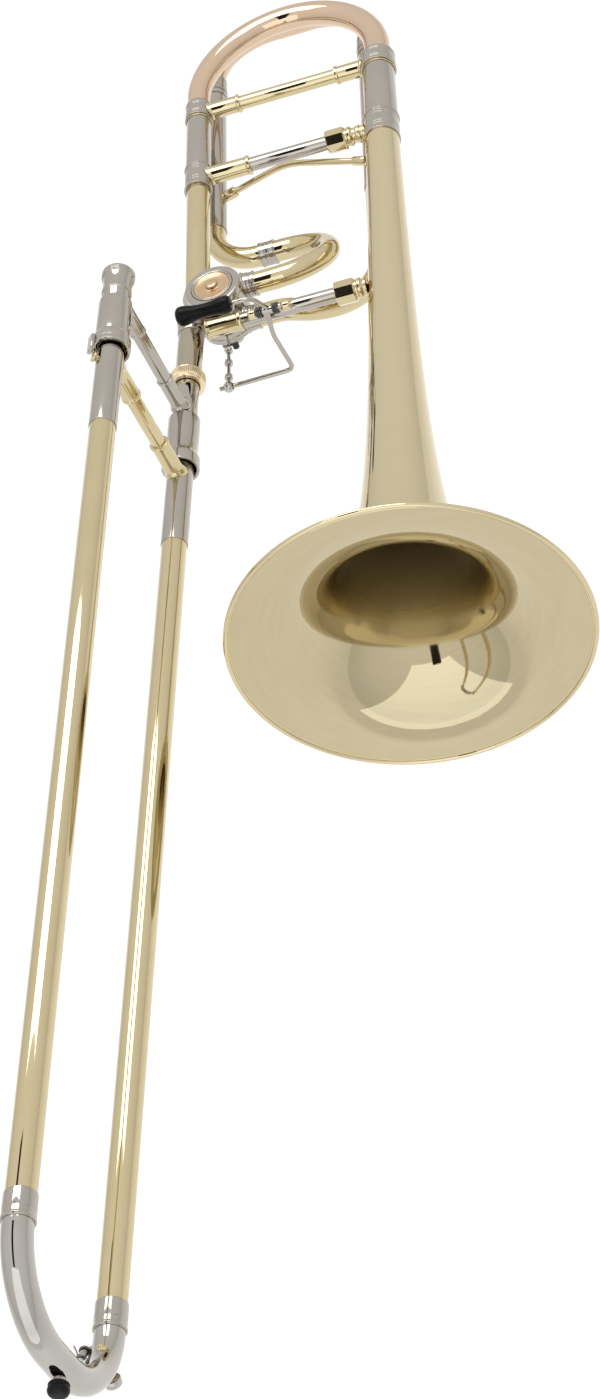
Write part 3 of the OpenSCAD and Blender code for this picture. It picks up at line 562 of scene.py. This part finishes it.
Z, LEFT, RIGHT = -31.0, 1.3, 116.8     # height of the loop's legs, and where they stand
TUBE_R, TUBE_SIDES = 7.5, 40
S_BEND_R, S_BEND_T, S_T = 32.5, 55, 22.5
U_END, U_TURN, CASING_T = 39.4, 50, -44
f_s = chain(line((LEFT, 68, Z), (LEFT, S_BEND_T, Z)),
            arc((LEFT + S_BEND_R, S_BEND_T, Z), (-S_BEND_R, 0, 0), (0, -S_BEND_R, 0), math.pi / 2),
            line((LEFT + S_BEND_R, S_T, Z), (U_END, S_T, Z)))
piece("f_s_tube", "bell_section", BELL, [sweep(f_s, TUBE_R, TUBE_SIDES)],
      "lacquered_brass", ("f_s_tube",))
half_fall = Vector((0, (S_T - CASING_T) / 2, Z / 2))
f_u = chain(line((U_END, S_T, Z), (U_TURN, S_T, Z)),
            arc((U_TURN, (S_T + CASING_T) / 2, Z / 2), half_fall, (half_fall.length, 0, 0), math.pi, 48),
            line((U_TURN, CASING_T, 0), (34, CASING_T, 0)))
piece("f_u_tube", "bell_section", BELL, [sweep(f_u, TUBE_R, TUBE_SIDES)],
      "lacquered_brass", ("f_u_tube",))
TILT = math.radians(24)
LOOP_R, KINK_R, PORT_T = 57, 30, -71.0
START_T = PORT_T + LOOP_R
loop_u = RIGHT - LOOP_R * math.cos(TILT)
kink_u = loop_u - KINK_R * math.sin(TILT)
loop_z = Z + LOOP_R * math.sin(TILT)
port_z = loop_z + KINK_R * (1 - math.cos(TILT))
side = Vector((LOOP_R * math.cos(TILT), 0, -LOOP_R * math.sin(TILT)))
f_loop = chain(line((RIGHT, 68, Z), (RIGHT, START_T, Z), 12),
               arc((RIGHT - side.x, START_T, Z - side.z), side, (0, -LOOP_R, 0), math.pi / 2, 32),
               list(reversed(arc((kink_u, PORT_T, port_z - KINK_R), (0, 0, KINK_R), (KINK_R, 0, 0), TILT, 8))),
               line((kink_u, PORT_T, port_z), (34, PORT_T, port_z), 4))
piece("f_loop_tube", "bell_section", BELL, [sweep(f_loop, TUBE_R, TUBE_SIDES)],
      "lacquered_brass", ("f_loop_tube",))
rings = []
for u0, u1, t, z in ((34, 45, S_T, Z), (35, 41, CASING_T, 0), (35, 41, PORT_T, port_z)):
    rings.append(lathe(ferrule(u0, u1, 8.3, 7.45, 0.3, fine(u0 + 1.4, u1 - 1.4, 2), 1.2), at=(0, t, z), axis=U))
piece("f_ferrules", "bell_section", BELL, rings, "nickel_silver", ("f_ferrules",))
legs = []
for u in (LEFT, RIGHT):
    legs += [pipe(59.6, 214, 7.9, 7.42, at=(u, 0, Z)),
             lathe([(209.6, 7.7), (209.6, 8.35), (211.4, 8.4), (213.9, 8.4), (213.9, 7.7)], at=(u, 0, Z)),
             lathe([(59.6, 7.6), (59.6, 8.2), (61.2, 8.2), (61.4, 7.6)], at=(u, 0, Z))]
piece("f_outer_legs", "bell_section", BELL, legs, "nickel_silver", ("f_outer_legs",))

# ---- rotary valve ----

VALVE_U, VALVE_T = 16.5, -58
VALVE = BELL @ Matrix.Translation((VALVE_U, VALVE_T, 0))
casing = [(-16, 15.95), (-16, 18.3), (-15, 18.5), (-13.4, 18.5), (-13.2, 18.2), (-12.8, 18.2), (-12.6, 18.5),
          (12.4, 18.5), (12.8, 18.1), (13.6, 18.1), (14, 18.5), (14.8, 18.9), (17.6, 18.9), (18.6, 18.5),
          (19, 17.6), (19, 14.3), (14, 14.3), (14, 15.95)]
shapes = [lathe(casing, axis=UP, steps=96, size=0.25)]
for t, z in ((CASING_T - VALVE_T, 0), (PORT_T - VALVE_T, port_z)):
    shapes.append(lathe([(15.2, 0), (15.2, 9.6), (16.6, 9.2), (17.4, 8.6), (18.9, 8.4), (18.9, 0)],
                        at=(0, t, z), axis=U, size=0.4))
knuckles = [lathe([(12, 0), (12, 9.9), (17.5, 9.4), (19.4, 8.7), (22.2, 8.6), (22.2, 0)],
                  at=(-VALVE_U, 0, 0), size=0.5)]
in_line = (Matrix.Translation((-VALVE_U, -VALVE_T, 0)) @ Matrix.Rotation(-LEAN, 4, "Z")
           @ Matrix.Translation((0, VALVE_T, 0)))
knuckles.append(moved(lathe([(-22.2, 0), (-22.2, 8.9), (-18, 9.2), (-12, 10), (-12, 0)], size=0.5), in_line))
piece("valve_casing", "bell_section", VALVE, shapes + knuckles,
      "nickel_silver", ("valve_casing",))
cap_ring = [(16, 12.3), (16, 14.05), (19.2, 14.05), (19.6, 13.7), (19.6, 12.9), (19.3, 12.3)]
piece("valve_cap_ring", "bell_section", VALVE, [lathe(cap_ring, axis=UP, steps=96)],
      "nickel_silver")
cap = [(16, 0), (16, 12.25), (19.1, 12.25), (19.3, 11.9), (19.0, 10.6), (18.6, 8.0), (18.55, 5.2), (18.7, 4.2),
       (20.6, 4.0), (21.1, 3.6), (21.3, 2.8), (21.35, 1.4), (21.4, 0)]
piece("valve_cap", "bell_section", VALVE, [lathe(cap, axis=UP, steps=96, size=0.3)],
      "rose_satin", ("valve_cap",))
plate = [(-18.5, 3.5), (-18.5, 16.6), (-17.9, 17.2), (-17.2, 18.2), (-16, 18.2), (-16, 3.5)]
piece("valve_back_plate", "bell_section", VALVE, [lathe(plate, axis=UP, steps=96)],
      "nickel_silver", ("valve_back_plate",))
CORK_OUT, ARM_Z = 8, (-29.8, -26.8)
corks = []
for a in (math.radians(60), math.radians(-90)):
    corks.append(lathe([(ARM_Z[0], 0), (ARM_Z[0], 2.2), (-17, 2.2), (-17, 0)],
                       at=(CORK_OUT * math.cos(a), CORK_OUT * math.sin(a), 0), axis=UP, steps=32, size=0.3))
piece("stop_corks", "bell_section", VALVE, corks, "dark_cork", ("stop_corks",))

hub = lathe([(-29.9, 0), (-29.9, 2.4), (-29.7, 5.4), (-26.8, 5.4), (-26.8, 3.45), (-26.6, 0)],
            axis=UP, steps=48)
CRANK_ANGLE, CRANK_R = math.radians(225), 9
crank = Matrix.Rotation(CRANK_ANGLE, 4, "Z")
arm = block(2.6, 9.4, -2.3, 2.3, *ARM_Z, 0.5)
tongue = block(2.6, 9, -1.8, 1.8, *ARM_Z, 0.5)
eye = lathe([(ARM_Z[0], 1.35), (ARM_Z[0], 2.6), (ARM_Z[1], 2.6), (ARM_Z[1], 1.35)],
            at=(CRANK_R, 0, 0), axis=UP, steps=40)
piece("stop_arm", "rotor", VALVE,
      [hub, moved(arm, crank), moved(eye, crank), moved(tongue, Matrix.Rotation(math.radians(30), 4, "Z"))],
      "polished_steel", ("stop_arm",))

cu, ct = VALVE_U + CRANK_R * math.cos(CRANK_ANGLE), VALVE_T + CRANK_R * math.sin(CRANK_ANGLE)
LZ, BALL_T, BALL_R = -32.0, -100.4, 3.8
link = [lathe([(-1.8, 0), (-1.8, 2.5), (-1.2, 2.8), (1.2, 2.8), (1.8, 2.5), (1.8, 1.2), (6.2, 1.2), (6.2, 0)],
              at=(cu, ct, LZ), axis=UP, steps=36),
        sweep(line((cu, ct - 1.5, LZ), (cu, -97.2, LZ), 3), 1.3, 20)]
for k in (-79, -93):
    knob = [(k, 0), (k, 1.9), (k + 0.6, 2.8), (k + 1.6, 2.8), (k + 2, 2.3), (k + 2.4, 2.8), (k + 3.4, 2.8),
            (k + 4, 1.9), (k + 4, 0)]
    link.append(lathe(knob, at=(cu, 0, LZ), steps=36, size=0.2))
ball = [(-BALL_R * math.cos(a), BALL_R * math.sin(a)) for a in (math.radians(d) for d in range(42, 139, 8))]
link.append(lathe([(ball[0][0], 2.53)] + ball + [(ball[-1][0], 2.53)],
                  at=(cu, BALL_T, LZ), axis=U, steps=48, size=0))
piece("link_rod", "link", BELL, link, "polished_steel", ("link_rod",))

# ---- thumb lever ----

HT, HZ = -94.0, 16.0
HINGE = Vector((53, HT, HZ))
PADDLE = Vector((-3, HT - 2, HZ + 15))
path = [PADDLE + Vector((36, 0, 0)), PADDLE + Vector((49.8, 0.5, -0.5)), HINGE + Vector((0.5, 0, 3)),
        HINGE + Vector((-2, -3, -18)), (55, -99.4, LZ), (22, BALL_T, LZ), (4, BALL_T, LZ)]
bar_path = rounded(path[:3], 5) + rounded(path[2:], 5)[1:]
lever = [sweep(bar_path, 1.6, 24),
         lathe([(46, 1.3), (46, 2.6), (63, 2.6), (63, 1.3)], at=(0, HT, HZ), axis=U, steps=40),
         lathe([(33.2, 0), (33.2, 2.6), (34.4, 3.1), (35.6, 3.1), (36.4, 2.4), (36.4, 0)],
               at=PADDLE, axis=U, steps=40)]
piece("thumb_lever", "lever", BELL, lever, "nickel_silver", ("thumb_lever",))
waist = [(0, 0), (0, 3.4), (0.5, 4.6), (1.6, 5.9), (3.2, 6.5), (5.4, 6.55), (8.4, 6.0), (12, 5.15), (16, 4.7),
         (20, 4.6), (24, 4.85), (28, 5.4), (31.4, 5.9), (33.6, 6.0), (35.6, 5.6), (36.7, 4.6), (37, 3.2),
         (37, 0)]
piece("thumb_paddle", "lever", BELL, [lathe(waist, at=PADDLE, axis=U, steps=64, size=0.8)],
      "black_plastic", ("thumb_paddle",))
POST_U = (43, 66)
posts = []
for u in POST_U:
    posts.append(sweep(line((u, -86.3, 9.1), (u, HT, HZ), 4), [2.6, 2.3, 2.0, 2.0, 2.0], 24))
    posts.append(lathe([(u - 2.6, 0), (u - 2.6, 2.6), (u - 1.8, 3), (u + 1.8, 3), (u + 2.6, 2.6), (u + 2.6, 0)],
                       at=(0, HT, HZ), axis=U, steps=40, size=0.3))
posts.append(plug(*POST_U, 1.2, at=(0, HT, HZ), axis=U, steps=24))
piece("lever_posts", "bell_section", BELL, posts, "lacquered_brass", ("lever_posts",))
springs = []
for u0 in (46.25, 57.2):
    coil = helix((u0, HT, HZ), U, radius=3.35, turns=3.1, pitch=1.16, start=math.radians(60))
    leg = [coil[-1] + Vector((0.1, -2, -3)), coil[-1] + Vector((0.2, -1.5, -6))]
    springs.append(sweep(coil + leg, 0.55, 10, 0.1))
piece("lever_spring", "bell_section", BELL, springs, "spring_steel", ("lever_spring",))

# ---- slide receiver and its nut ----

THREAD_TURNS, PITCH = 9, 0.9
receiver = [(8.2, 8.15), (8.2, 9.2)]
for i in range(THREAD_TURNS):
    receiver += [(8.8 + i * PITCH, 9.5), (9.25 + i * PITCH, 9.0)]
receiver += [(17, 9.4), (17, 8.6), (40, 8.6), (53.9, 8.6), (53.9, 8.15)]
piece("receiver_tube", "bell_section", LOWER, [lathe(receiver, size=0.1)],
      "receiver_alloy", ("receiver_tube",))
RIDGES, RIDGE_DEPTH = 60, 0.35


def knurl(a, k, r):
    """How far the nut's surface dips between its ridges."""
    return -RIDGE_DEPTH * (0.5 - 0.5 * math.cos(RIDGES * a)) if 8.0 < k < 14.8 and r > 11 else 0


nut = [(6, 8.45), (6, 10.6), (6.8, 11.4), (7.6, 11.4), (7.9, 11.0), (8.2, 11.2), (8.5, 11.7), (11, 11.7),
       (14.4, 11.7), (14.9, 11.2), (15.3, 11.4), (16, 10.9), (16, 9.65), (8, 9.65), (8, 8.45)]
piece("lock_nut", "receiver_nut", LOWER, [lathe(nut, steps=360, size=0.12, wobble=knurl)],
      "satin_brass", ("lock_nut",), sharp=60)

# ---- main tuning slide ----

BOW_T, BOW_END_T, BRACE_T = 171.5, 152, 154
NARROW_R, WIDE_R = 8.1, 9.2            # the bow's ends, by the neckpipe's leg and by the bell's
middle = SPREAD / 2
bow_path = chain(line((0, BOW_END_T, 0), (0, BOW_T, 0), 6),
                 arc((middle, BOW_T, 0), (-middle, 0, 0), (0, middle, 0), math.pi, 72),
                 line((SPREAD, BOW_T, 0), (SPREAD, BOW_END_T, 0), 6))
radii = []
for p in bow_path:
    turned = math.atan2(p.y - BOW_T, middle - p.x) / math.pi if p.y > BOW_T else (0.0 if p.x < middle else 1.0)
    radii.append(NARROW_R + (WIDE_R - NARROW_R) * min(max(turned, 0.0), 1.0))
piece("main_bow", "main_tuning_slide", BELL, [sweep(bow_path, radii, 48)],
      "rose_brass", ("main_bow",))


def end_ferrule(y0, y1, r, end_r, bore):
    """The sleeve on a tuning slide: a bead, fine lines and a rounded shoulder down to the bow."""
    out = [(y0, bore), (y0, r + 0.4), (y0 + 1.5, r + 0.4), (y0 + 1.5, r)]
    for k in (y0 + 3.2, y0 + 4.6, y1 - 6.2, y1 - 4.8):
        out += [(k - 0.45, r), (k - 0.3, r - 0.25), (k + 0.3, r - 0.25), (k + 0.45, r)]
    return out + [(y1 - 3.2, r), (y1 - 2.4, r + 0.1), (y1 - 0.8, (r + end_r) / 2 + 0.35), (y1, end_r + 0.4),
                  (y1, bore)]


piece("main_bow_ferrules", "main_tuning_slide", BELL,
      [lathe(end_ferrule(145.3, 163, 9.3, NARROW_R, 8.0), size=0.25),
       lathe(end_ferrule(145.3, 163, 12.1, WIDE_R, 9.1), at=(SPREAD, 0, 0), size=0.25)],
      "nickel_silver", ("main_bow_ferrules",))
piece("main_inner_legs", "main_tuning_slide", BELL,
      [pipe(93, BRACE_T, 8.0, 7.5), pipe(93, BRACE_T, 10.7, 10.2, at=(SPREAD, 0, 0))],
      "nickel_bow", ("main_inner_legs",))
STEM_R, FAR_STEM_R = 9.5, 12.3
end_profile = [(STEM_R, 0), (STEM_R, 6.4), (10.2, 6.6), (11.4, 5.95), (28.6, 5.85), (29, 6.5), (30.8, 6.5),
               (31, 6.0), (31, 0)]
far_profile = [(k + (FAR_STEM_R - STEM_R if k < 20 else 0), r) for k, r in end_profile]
near = foot(end_profile, (0, BRACE_T, 0), U, ALONG, STEM_R)
far = foot(far_profile, (0, BRACE_T, 0), U, ALONG, FAR_STEM_R)
piece("tuning_brace", "main_tuning_slide", BELL,
      [near, mirrored_u(far, middle), plug(28, 103.6, 4.9, at=(0, BRACE_T, 0), axis=U)],
      "lacquered_brass", ("tuning_brace",))

# ---- F tuning slide ----

CORNER, F_BOW_T, F_BEND_T = 43.3, 218, 230
f_bow = chain(line((LEFT, F_BOW_T, Z), (LEFT, F_BEND_T, Z), 3),
              arc((LEFT + CORNER, F_BEND_T, Z), (-CORNER, 0, 0), (0, CORNER, 0), math.pi / 2, 30),
              line((LEFT + CORNER, F_BEND_T + CORNER, Z), (RIGHT - CORNER, F_BEND_T + CORNER, Z), 4),
              arc((RIGHT - CORNER, F_BEND_T, Z), (0, CORNER, 0), (CORNER, 0, 0), math.pi / 2, 30),
              line((RIGHT, F_BEND_T, Z), (RIGHT, F_BOW_T, Z), 3))
piece("f_bow", "f_tuning_slide", BELL, [sweep(f_bow, TUBE_R, 44)], "rose_brass", ("f_bow",))
piece("f_bow_ferrules", "f_tuning_slide", BELL,
      [lathe(end_ferrule(214.3, F_BEND_T, 8.3, TUBE_R, 7.4), at=(u, 0, Z), size=0.25) for u in (LEFT, RIGHT)],
      "nickel_silver", ("f_bow_ferrules",))
piece("f_inner_legs", "f_tuning_slide", BELL,
      [pipe(71.6, F_BOW_T, 7.3, 6.8, at=(u, 0, Z)) for u in (LEFT, RIGHT)],
      "nickel_bow", ("f_inner_legs",))

# ---- inner hand slide ----

piece("slide_tenon", "inner_slide", LOWER, [pipe(-25, 14, 8.0, 7.1)],
      "nickel_silver", ("slide_tenon",))
upper = [(-62, 9.1), (-66, 9.1), (-66, 10.3), (-40, 10.3), (-27.9, 10.3), (-27.3, 9.9), (-26.2, 8.9),
         (-26, 7.1), (-29, 7.1), (-29, 9.1)]
lower = [(-68, 9.1), (-69.6, 10.2), (-70, 11.6), (-69.4, 12), (-61.6, 12), (-60.2, 11.5), (-58.4, 10.7),
         (-56.6, 10.3), (-40, 10.3), (-26, 10.3), (-25.4, 9.9), (-24.2, 8.9), (-24, 7.1), (-27, 7.1),
         (-27, 9.1)]
piece("cork_barrel_upper", "inner_slide", SLIDE, [lathe(upper, size=0.25)], "nickel_silver")
piece("cork_barrel_lower", "inner_slide", LOWER, [lathe(lower, size=0.3)],
      "nickel_silver", ("cork_barrels",))
both = [pipe(-49.6, -30, 9.05, 7.12, at=(0, 0, z)) for z in (0, -SPACING)]
piece("barrel_corks", "inner_slide", SLIDE, both, "dark_cork", ("barrel_corks",))
mouth = [(-26, 6.4), (-26, 8.4), (-19.2, 8.6), (-18.8, 9.3), (-17, 9.3), (-16.6, 8.8), (-12, 9.0), (-5.2, 9.35),
         (-4.6, 10.1), (-4.2, 10.35), (-3.4, 10.35), (-3.1, 10.05), (-2.7, 10.05), (-2.4, 10.35), (-0.9, 10.35),
         (-0.2, 10.0), (0, 9.5), (0, 6.7), (-0.5, 6.4)]
piece("mouthpiece_receiver", "inner_slide", SLIDE, [lathe(mouth, size=0.2)],
      "nickel_silver", ("mouthpiece_receiver",))


def slide_brace(name, body, y, stem, sleeve, stand, metal_name):
    """A brace across the slide: a bar between two sleeves, each on a saddle against its tube. The points under
    the saddle follow the tube too, so that nothing dips into it."""
    under = stand - 0.2
    top = [(under, 0), (under, 2.2), (under, 4.2), (under, sleeve + 1.6), (stand + 0.8, sleeve + 1.5),
           (stand + 2.4, sleeve + 0.4), (stand + 4.5, sleeve), (30, sleeve), (30.6, sleeve + 0.4),
           (32.6, sleeve + 0.4), (33, sleeve - 0.3), (33, 0)]
    upper_foot = foot(top, (0, y, 0), (0, 0, -1), ALONG, stand, 5)
    lower_foot = foot(top, (0, y, -SPACING), UP, ALONG, stand, 5)
    bar = plug(-74, -32, stem, at=(0, y, 0), axis=UP)
    piece(name, body, SLIDE, [upper_foot, lower_foot, bar], metal_name, (name,))


slide_brace("inner_brace", "inner_slide", -19.2, 4.5, 5.0, 9.4, "nickel_silver")
INNER_END, OUTER_END, BOW_START = -655, -667, -667.2
tubes = []
stocking = [(INNER_END, 7.0), (INNER_END, 7.2), (-653, 7.45), (-567, 7.45), (-565, 7.2), (-565, 7.0)]
for z, end in ((0, -26.5), (-SPACING, 11.5)):
    tubes += [pipe(INNER_END, end, 7.1, 6.7, at=(0, 0, z)), lathe(stocking, at=(0, 0, z))]
piece("inner_tubes", "inner_slide", SLIDE, tubes, "nickel_bow", ("inner_tubes",))

collar = [(-70, 10.1), (-70, 11.6), (-69.4, 12), (-66.4, 12), (-66, 11.7), (-65.6, 12), (-61.6, 12),
          (-60.2, 11.6), (-58.4, 10.9), (-58, 10.4), (-66.3, 10.4), (-66.3, 10.1)]
TURN = Matrix.Rotation(math.radians(-40), 4, "Y")
tab = block(-3, 3, -77, -63, 11.7, 14.2, 0.6)
piece("slide_lock", "lock_ring", SLIDE, [lathe(collar, size=0.15), moved(tab, TURN)],
      "nickel_silver", ("slide_lock",))

# ---- outer hand slide ----

OUTER_R = 8.0
front_y, back_y = SLEEVE_Y
sleeve = [(front_y, OUTER_R), (front_y, 8.25), (front_y + 0.4, 8.45), (back_y - 0.4, 8.45), (back_y, 8.3),
          (back_y, OUTER_R)]
sleeves = [lathe(sleeve, at=(0, 0, z), size=0.1) for z in (0, -SPACING)]
brass = [pipe(OUTER_END, back_y, OUTER_R, 7.55, at=(0, 0, z)) for z in (0, -SPACING)]
piece("outer_sleeves", "outer_slide", SLIDE, sleeves, "nickel_silver", ("outer_sleeves",))
piece("outer_tubes", "outer_slide", SLIDE, brass, "lacquered_brass", ("outer_tubes",))
slide_brace("outer_brace", "outer_slide", -77, 4.75, 5.9, 8.5, "lacquered_brass")
stud = [(8.2, 0), (8.2, 2.4), (9.4, 2.4), (9.8, 3.4), (10.3, 3.6), (10.9, 3.5), (11.3, 2.9), (11.25, 1.2),
        (11.2, 0)]
piece("lock_stud", "outer_slide", SLIDE, [moved(lathe(stud, at=(0, -80, 0), axis=UP, steps=40), TURN)],
      "lacquered_brass", ("lock_stud",))
shape = [(BOW_Y, OUTER_R), (BOW_Y, 8.7), (BOW_Y + 0.5, 9.0), (BOW_Y + 1.2, 9.1), (BOW_Y + 1.9, 8.95),
         (BOW_Y + 2.6, 8.72), (BOW_Y + 5.4, 8.72), (BOW_Y + 5.7, 8.55), (BOW_Y + 6.1, 8.55),
         (BOW_Y + 6.4, 8.72), (OUTER_END, 8.72), (-665.8, 8.65), (-665.6, 8.3), (-665.6, OUTER_R)]
collars = [lathe(shape, at=(0, 0, z), size=0.2) for z in (0, -SPACING)]
piece("bow_ferrules", "outer_slide", SLIDE, collars, "nickel_silver", ("bow_ferrules",))
bow = chain(line((0, BOW_START, 0), (0, BOW_Y, 0), 3),
            arc((0, BOW_Y, -TURN_R), (0, 0, TURN_R), (0, -TURN_R, 0), math.pi / 2, 30),
            line((0, BOW_Y - TURN_R, -TURN_R), (0, BOW_Y - TURN_R, TURN_R - SPACING), 3),
            arc((0, BOW_Y, TURN_R - SPACING), (0, -TURN_R, 0), (0, 0, -TURN_R), math.pi / 2, 30),
            line((0, BOW_Y, -SPACING), (0, BOW_START, -SPACING), 3))
piece("slide_bow", "outer_slide", SLIDE, [sweep(bow, 8.1, 48)], "nickel_bow", ("slide_bow",))
BUMPER_Z = -57
tip = (0, BOW_Y - TURN_R, BUMPER_Z)
ring = [(6.9, 0), (6.9, 3.2), (8.6, 3.2), (9.0, 3.2), (9.3, 3.0), (9.3, 0)]
piece("bumper_ring", "outer_slide", SLIDE, [lathe(ring, at=tip, axis=FRONT, steps=48)],
      "nickel_silver", ("bumper_ring",))
knob = [(9.3, 0), (9.3, 3.4), (9.9, 5), (10.9, 5.55), (11.5, 5.3), (11.9, 5.0), (12.3, 5.3), (13.1, 5.6),
        (14.5, 5.6), (16.1, 4.8), (16.7, 3.6), (16.9, 2.4), (16.9, 0)]
piece("bumper", "outer_slide", SLIDE, [lathe(knob, at=tip, axis=FRONT, steps=64, size=0.5)],
      "black_rubber", ("bumper",))

# ---- water key ----

HINGE_X, HINGE_Z = -9.4, 5.4
KEY_HINGE = (HINGE_X, 0, HINGE_Z)
EAR_WIDTH = 1.6
saddle = []
for y in (-5.6, 4.0):
    end = y + EAR_WIDTH
    ear = [(y, 0), (y, 1.9), (y + 0.3, 2.2), (end - 0.3, 2.2), (end, 1.9), (end, 0)]
    saddle.append(lathe(ear, at=KEY_HINGE, steps=40))
    saddle.append(block(-8.8, -5.4, y, end, 1.6, 6.4, 0.3))
saddle.append(plug(-5.6, 5.6, 0.9, at=KEY_HINGE, steps=24))
piece("water_key_saddle", "outer_slide", KEY, saddle, "nickel_bow", ("water_key_saddle",))
nipple = [(-9.6, 1.2), (-9.6, 2.2), (-9.2, 2.4), (-7.2, 2.4), (-7.2, 1.2)]
button = [(6.8, 0), (6.8, 2.6), (8.4, 2.6), (9, 2.1), (9.0, 1.3), (8.4, 1.1), (8.3, 0)]
piece("water_key_nipple", "outer_slide", KEY,
      [lathe(nipple, axis=UP, steps=40), lathe(button, at=(1.5, 0, 0), axis=UP, steps=40)],
      "lacquered_brass")
hook = [lathe([(-3.6, 1.0), (-3.6, 2.2), (3.6, 2.2), (3.6, 1.0)], at=KEY_HINGE, steps=40),
        block(HINGE_X - 3.0, HINGE_X - 2.0, -0.5, 0.5, HINGE_Z, HINGE_Z + 6.5, 0.3)]
WRAP_R, HALF_WIDTH, HALF_THICK = 12.5, 2.0, 1.05
strip, quads = [], []
for i, degrees in enumerate(range(-22, 79, 4)):
    a = math.radians(degrees)
    p = Vector((-WRAP_R * math.cos(a), 0, -WRAP_R * math.sin(a)))
    out = p.normalized()
    for y, k in ((-HALF_WIDTH, HALF_THICK), (HALF_WIDTH, HALF_THICK),
                 (HALF_WIDTH, -HALF_THICK), (-HALF_WIDTH, -HALF_THICK)):
        strip.append(Vector((p.x, y, p.z)) + out * k)
    if i:
        b = 4 * i
        quads += [(b - 4 + j, b - 4 + (j + 1) % 4, b + (j + 1) % 4, b + j) for j in range(4)]
quads += [(3, 2, 1, 0), tuple(range(len(strip) - 4, len(strip)))]
hook.append((strip, quads))
cup = [(-15.2, 0), (-15.2, 3.9), (-14.6, 4.5), (-12.4, 4.7), (-10.8, 4.7), (-10.6, 4.4), (-10.6, 4.1),
       (-12.2, 4.1), (-12.2, 0)]
hook.append(lathe(cup, axis=UP, steps=48, size=0.25))
piece("water_key_lever", "water_key", KEY, hook, "nickel_bow", ("water_key_lever",), sharp=35)
piece("water_key_cork", "water_key", KEY,
      [lathe([(-12.15, 0), (-12.15, 3.95), (-9.7, 3.9), (-9.7, 0)], axis=UP, steps=40)],
      "cork", ("water_key_cork",))
coil = helix((HINGE_X, -3.9, HINGE_Z), ALONG, radius=2.6, turns=2.2, pitch=0.55, start=0.5)
piece("water_key_spring", "outer_slide", KEY,
      [sweep(coil, 0.32, 8, 0.08), sweep([(v.x, -v.y, v.z) for v in coil], 0.32, 8, 0.08)],
      "spring_steel")

# the rotor stays as the CAD made it, and shows only through the ports
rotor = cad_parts["valve_rotor"]
rotor.data.materials.clear()
rotor.data.materials.append(MATERIALS["satin_nickel"])
for polygon in rotor.data.polygons:
    polygon.material_index = 0

# ---- floor, light and camera ----

world = bpy.context.scene.world or bpy.data.worlds.new("studio")
bpy.context.scene.world = world
world.use_nodes = True
background = world.node_tree.nodes["Background"]
nodes, links = world.node_tree.nodes, world.node_tree.links
split = nodes.new("ShaderNodeSeparateXYZ")
links.new(nodes.new("ShaderNodeTexCoord").outputs["Generated"], split.inputs["Vector"])
sky = nodes.new("ShaderNodeValToRGB")
first, last = sky.color_ramp.elements[0], sky.color_ramp.elements[1]
halfway = sky.color_ramp.elements.new(0.3)
for element, height, grey in ((first, 0.0, 0.74), (last, 0.6, 0.93), (halfway, 0.3, 0.86)):
    element.position = height
    element.color = (grey, grey, grey, 1)
links.new(split.outputs["Z"], sky.inputs["Fac"])
links.new(sky.outputs["Color"], background.inputs["Color"])
background.inputs["Strength"].default_value = 1.0



def sheet(name, x0, x1, y0, y1, z, material):
    """A level rectangle of the studio, in metres."""
    mesh = bpy.data.meshes.new(name)
    mesh.from_pydata([(x0, y0, z), (x1, y0, z), (x1, y1, z), (x0, y1, z)], [], [(0, 1, 2, 3)])
    obj = bpy.data.objects.new(name, mesh)
    bpy.context.scene.collection.objects.link(obj)
    mesh.materials.append(MATERIALS[material])
    return obj


nodes, links, shader, place = tree("pale_floor")
cloud = noise(nodes, links, place, 3.0)
links.new(ramp(nodes, links, cloud, (0.9, 0.9, 0.895), (0.93, 0.93, 0.925)), shader.inputs["Base Color"])
shader.inputs["Roughness"].default_value = 0.9
shader.inputs["Specular IOR Level"].default_value = 0.1
shader.inputs["Emission Color"].default_value = (1, 1, 1, 1)
shader.inputs["Emission Strength"].default_value = 0.04
HALF_FLOOR, FLOOR_Z = 9.0, -0.95
sheet("floor", -HALF_FLOOR, HALF_FLOOR, -HALF_FLOOR, HALF_FLOOR, FLOOR_Z, "pale_floor")


def softbox(name, place, target, width, height, power, color=(1.0, 1.0, 1.0)):
    light = bpy.data.lights.new(name, "AREA")
    light.shape = "RECTANGLE"
    light.size, light.size_y = width, height
    light.energy = power
    light.color = color
    obj = bpy.data.objects.new(name, light)
    bpy.context.scene.collection.objects.link(obj)
    obj.location = place
    obj.rotation_euler = (Vector(target) - Vector(place)).to_track_quat("-Z", "Y").to_euler()
    obj.visible_camera = False


softbox("key", (0.0, 0.73, 1.5), (0.0, 0.731, 0.0), 1.3, 1.05, 13.0)
softbox("front", (-0.05, -2.35, 0.95), (0.12, -0.25, 0.25), 2.3, 3.3, 15.5, (0.88, 0.95, 1.0))

# a black card over the slide, seen only in reflections
card = sheet("flag_over_bow", -0.30, 0.02, -1.35, 0.02, 1.5, "black_rubber")
card.visible_camera = card.visible_diffuse = card.visible_shadow = False

SENSOR, FOCAL_IN_HEIGHTS = 36, 3193.75 / 1399
camera_data = bpy.data.cameras.new("camera")
camera_data.lens = FOCAL_IN_HEIGHTS * SENSOR
camera_data.sensor_width = SENSOR
camera_data.clip_end = 50
camera = bpy.data.objects.new("camera", camera_data)
bpy.context.scene.collection.objects.link(camera)
to_right, to_top, to_back = (0.9281, 0.0326, -0.3708), (0.2233, 0.7482, 0.6247), (0.2978, -0.6627, 0.6872)
rotation = Matrix((to_right, to_top, to_back)).transposed().to_4x4()
camera.matrix_world = Matrix.Translation((0.63106, -1.49547, 1.14703)) @ rotation
bpy.context.scene.camera = camera
bpy.context.scene.view_settings.view_transform = "Standard"
